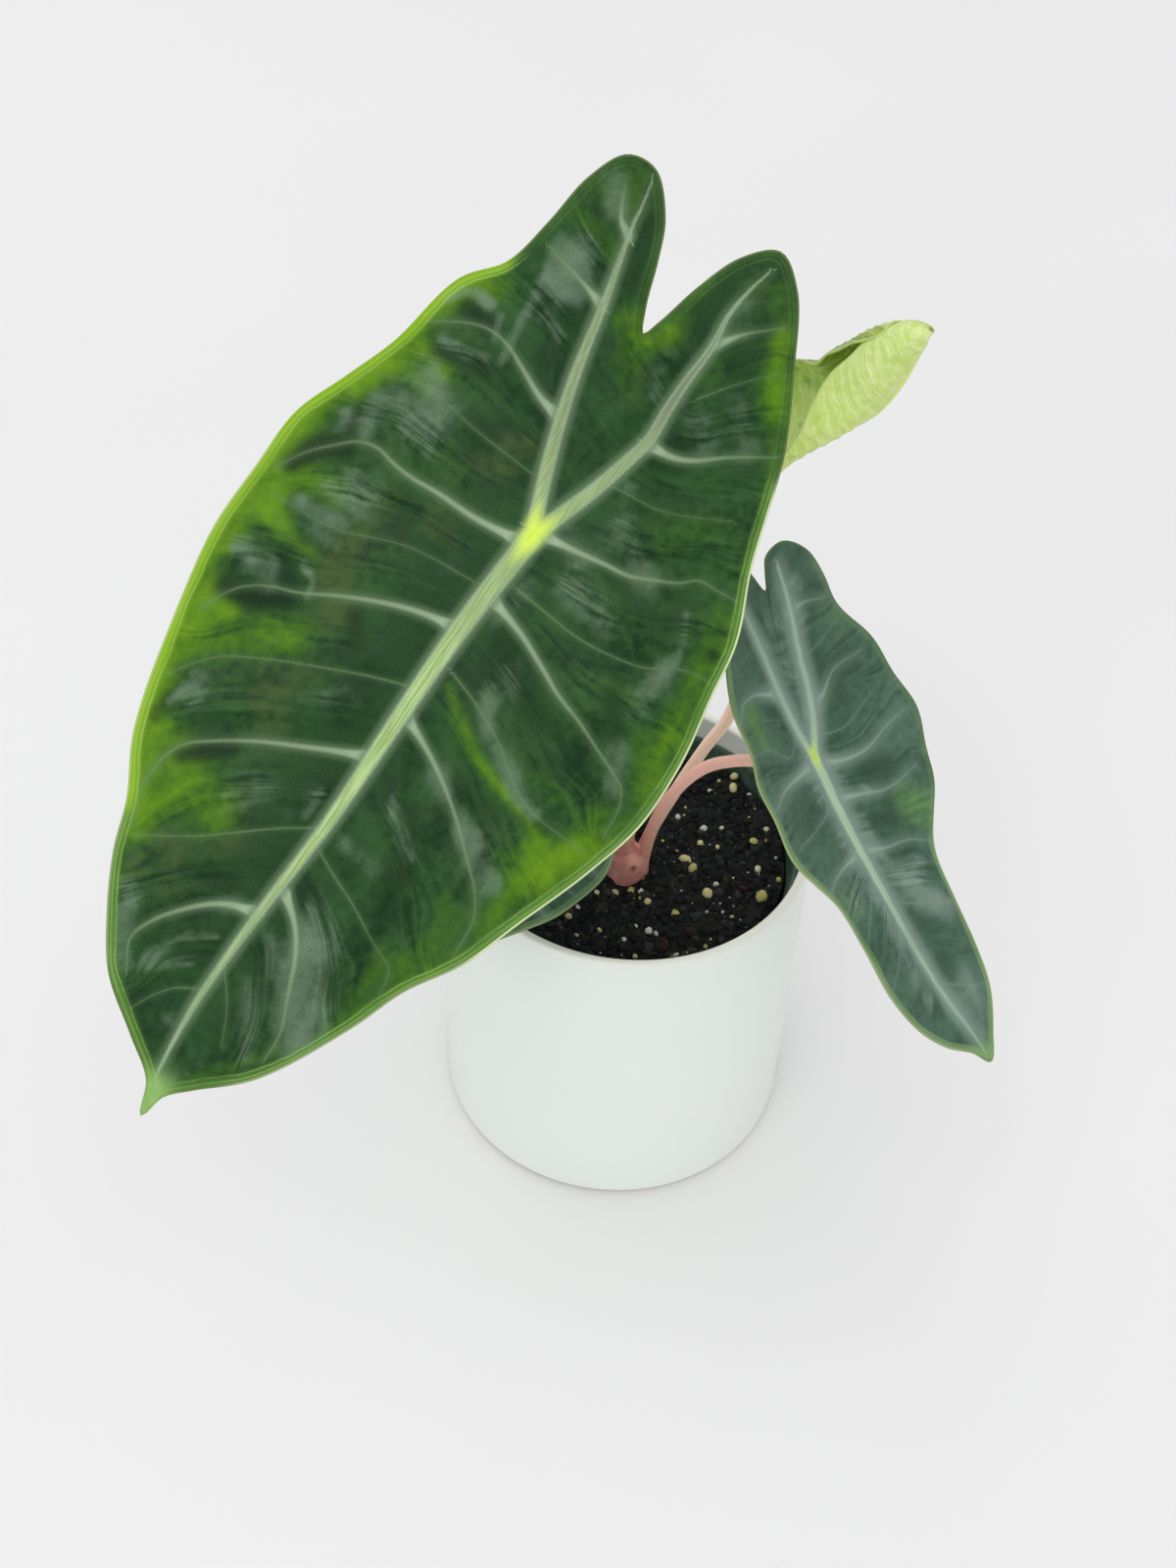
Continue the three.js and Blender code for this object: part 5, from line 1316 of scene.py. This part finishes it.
# %% [markdown]
# ## Rolled leaf
#
# The youngest leaf has not opened. Each half wraps up and over from the midrib, tight towards
# the tip and open towards the stalk, so its pale underside shows, ringed by side veins.
# Each half is a grid of stations along the midrib by steps round the roll. A station is
# written as its place along the midrib towards the tip, and the distances round the roll of
# the inner edge, of the near half's margin and of the far half's.

# %% Rolled leaf
ROLLED = dict(
    at=(24.4, 5.8, 263.2), heading=-28.6, dip=-60.5, roll=0, turn=7, midrib=(3.0, 1.9), midrib_end=88,
    belly=dict(depth=7.3, at=61, towards_stalk=21, towards_tip=31),
    taper=dict(start=60, over=34, power=1.6, share=0.8),
    halves=[
        dict(side=-1, open_radius=32, tight_radius=9.3, open_to=34, tight_from=67, column=2),
        dict(side=1, open_radius=15.5, tight_radius=9.9, open_to=34, tight_from=58, column=3),
    ],
    sections=written_points("""
        -30,9,14,14 -28,6.5,17.5,18 -22,3.5,22,23 -13,1.2,26,27.5 -4,-0.5,27.5,30 6,-0.5,27.5,31
        16,-0.5,26,31 27,-0.5,23.5,30 38,-0.5,22,29.5 46,-0.5,22.5,29 53,-0.5,23,29 59,-0.5,23,29.5
        65,-0.5,22.5,29.5 71,-0.5,21.5,28 77,-0.5,20,25.5 81.5,-0.5,18.8,22 83.5,-0.5,18,18 85,-0.5,17.2,9
        87.5,-0.5,15.6,7 90,-0.5,13,5.5 92.3,-0.5,9,3.5
    """),
)
END_STARTS, END_LENGTH, MOST_TURN = 87, 5.4, 5.8
RING_GAP = 4.4


def rolled_points(leaf, half, along, distance, height):
    """A point of one half at a distance from the midrib measured round the roll, and a height over its
    inside. With r the roll's radius there, the point lies side (r - height) sin(distance / r) to
    the side and r - (r - height) cos(distance / r) up, less a belly that sags along the midrib. The
    radius narrows towards the tip, and over the last 5 mm it closes like the end of an egg. No point
    goes round by more than 5.8 times the radius."""
    taper, belly = leaf["taper"], leaf["belly"]
    past = np.clip((along - taper["start"]) / taper["over"], 0, 1)
    closed = ease(along, half["open_to"], half["tight_from"])
    radius = half["tight_radius"] * (1 - taper["share"] * past ** taper["power"])
    radius = radius + (half["open_radius"] - half["tight_radius"]) * (1 - closed)
    radius = radius * np.sqrt(1 - 0.985 * np.clip((along - END_STARTS) / END_LENGTH, 0, 1) ** 2)
    distance = np.minimum(distance, MOST_TURN * radius)
    spread = np.where(along > belly["at"], belly["towards_tip"], belly["towards_stalk"])
    sag = belly["depth"] * bell(along - belly["at"], spread)
    sideways = half["side"] * (radius - height) * np.sin(distance / radius)
    upward = radius - (radius - height) * np.cos(distance / radius) - sag
    at, tip, side, face = leaf_axes(leaf)
    turn = radians(leaf["turn"])
    across = sideways * np.cos(turn) - upward * np.sin(turn)
    out = upward * np.cos(turn) + sideways * np.sin(turn)
    return at + along[..., None] * tip + across[..., None] * side + out[..., None] * face


def ring_phase(along, distance):
    """Counts the side veins: they leave the midrib every 4.4 mm and sweep forwards as they go round."""
    return (along - 0.35 * distance - 0.012 * distance**2) / RING_GAP


def young_finish():
    f = Finish("young_rolled_leaf")
    at, place, underside = f.place(), f.read("roll_place", "Vector"), f.read("underside")
    along, way_round = place.part("X"), place.part("Y")
    wave, fuzz, warp = f.noise(at, 0.1), f.noise(at, 0.5), f.noise(at, 0.09).centred(2.6)
    turns = place.part("Z") + warp
    bands = [
        abs((turns * count).math("FRACT") - 0.5).step(0.0, width, 1, 0)
        for count, width in ((1.0, 0.28), (2.3, 0.28), (5.1, 0.42))
    ]
    rings = bands[0] * 0.55 + bands[1] * wave.step(0.3, 0.6, 0.1, 0.6) + bands[2] * 0.25
    rings = rings * fuzz.step(0.25, 0.7, 0.35, 1)

    # the inside of the roll, and then the outside over it
    inside = f.mix(wave.step(0.3, 0.7), tint(176, 208, 80), tint(206, 226, 128))
    inside = f.mix(f.noise(at, 0.16, 2).step(0.55, 0.68, 0, 0.8), inside, tint(120, 160, 30))
    inside = f.mix(rings * 0.7, inside, tint(226, 236, 184))
    inside = f.mix(way_round.step(2.8, 1.2, 0, 1), inside, tint(214, 228, 160))
    f.colour = f.mix(wave.step(0.3, 0.7), tint(190, 218, 84), tint(214, 232, 130))
    f.paint(along.step(30, 86) * 0.7, f.mix(fuzz.step(0.3, 0.7), tint(182, 204, 112), tint(204, 220, 148)))
    f.paint(f.noise(at, 0.22, 2).step(0.5, 0.75, 0, 0.5), tint(172, 198, 84))
    f.paint(rings * 0.65, tint(232, 240, 184))
    f.paint(way_round.step(2.5, 0.8, 0, 0.6), tint(222, 232, 160))
    f.colour = f.mix(underside, inside, f.colour)

    # the olive strip on the far flap, painted darker: painted shade where the flap lies in shadow; and the
    # margin
    strip = (along + warp * 3).step(45, 53) * (way_round - underside * 3.5).step(12, 15.5)
    lines = f.noise(f.place("roll_place", (0.03, 0.9, 0)), 1.0)
    f.paint(strip * f.read("far_half"), f.mix(lines.step(0.4, 0.62), tint(118, 142, 48), tint(168, 188, 86)))
    f.paint(f.read("margin").step(0.2, 1.0, 0.8, 0), tint(196, 214, 130))
    return f.done(
        Roughness=0.42, Specular_IOR_Level=0.3, Normal=f.bump(rings, 0.3, 0.6),
        Subsurface_Weight=0.15, Subsurface_Radius=(0.002, 0.003, 0.001),
    )


def build_rolled(leaf, rows=230, columns=56, steps=120, half_thick=0.35):
    """Two rolled halves and the midrib's keel as one piece. Each half is a face and an underside of
    rows along the midrib by columns round the roll, closed by a band along its border."""
    knots, sheet = smooth_path(leaf["sections"], rows), rows * columns
    along, share = np.repeat(knots[:, :1], columns, 1), np.linspace(0, 1, columns)[None]
    border = np.concatenate([
        np.arange(columns), columns * np.arange(1, rows) + columns - 1, sheet - 1 - np.arange(1, columns),
        columns * np.arange(rows - 2, 0, -1),
    ])
    parts, kept = [], []
    for half in leaf["halves"]:
        inner, outer, flip = knots[:, 1:2], knots[:, half["column"]][:, None], half["side"] > 0
        distance = inner + (outer - inner) * share
        phase = ring_phase(along, distance)
        ridge = bell(phase % 1 - 0.5, 0.16) * ease(distance, 0, 3) * ease(outer - distance, 0, 5)
        ripple = 0.25 * np.sin(along * 0.55 + distance * 0.3) * share**2
        corners, faces = [], []
        for level, height in enumerate([half_thick + ripple, -half_thick + ripple - 0.28 * ridge]):
            corners.append(rolled_points(leaf, half, along, distance, height).reshape(-1, 3))
            cell = grid_faces(rows, columns, start=level * sheet)
            faces.append(cell[:, ::-1] if flip == (level == 0) else cell)
            numbers = np.broadcast_arrays(along, distance, phase, level, flip, outer - distance)
            kept.append(np.stack(numbers, -1).reshape(-1, 6))
        top, low = border, sheet + border
        rim = np.stack([top, np.roll(top, -1), np.roll(low, -1), low], -1)
        parts.append((np.vstack(corners), [*faces, rim if flip else rim[:, ::-1]]))
    run = np.linspace(0, leaf["midrib_end"], steps)
    keel = rolled_points(leaf, leaf["halves"][0], run, 0 * run, 0 * run - half_thick)
    width = np.linspace(*leaf["midrib"], steps) / 2 * (1 - 0.6 * ease(run, 70, 88))
    parts.append(tube(keel, width, sides=20))
    kept.append(np.tile([0, 0, 0, 1, 0, 20.0], (len(parts[-1][0]), 1)))

    piece, kept = link_mesh("blade_young_rolled", *joined(parts), young_finish()), np.vstack(kept)
    keep_numbers(piece, "roll_place", kept[:, :3])
    for column, name in enumerate(("underside", "far_half", "margin"), 3):
        keep_numbers(piece, name, kept[:, column])
    ride_and_replace(piece, "leaf_young", "blade_rolled")


build_rolled(ROLLED)

# %% [markdown]
# ## Finish
#
# The boxes of the imported solids and of the finished model are measured, and the top corner of
# each is printed. The finished model must stay inside the imported solids' box, apart from a
# small allowance.

# %% Sizes and finish
visual_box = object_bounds()
sizes = {name: [list(corner) for corner in box] for name, box in (("cad", cad_box), ("visual", visual_box))}
for name, (_, top) in sizes.items():
    print(name, "box reaches", [round(v, 4) for v in top], "m")
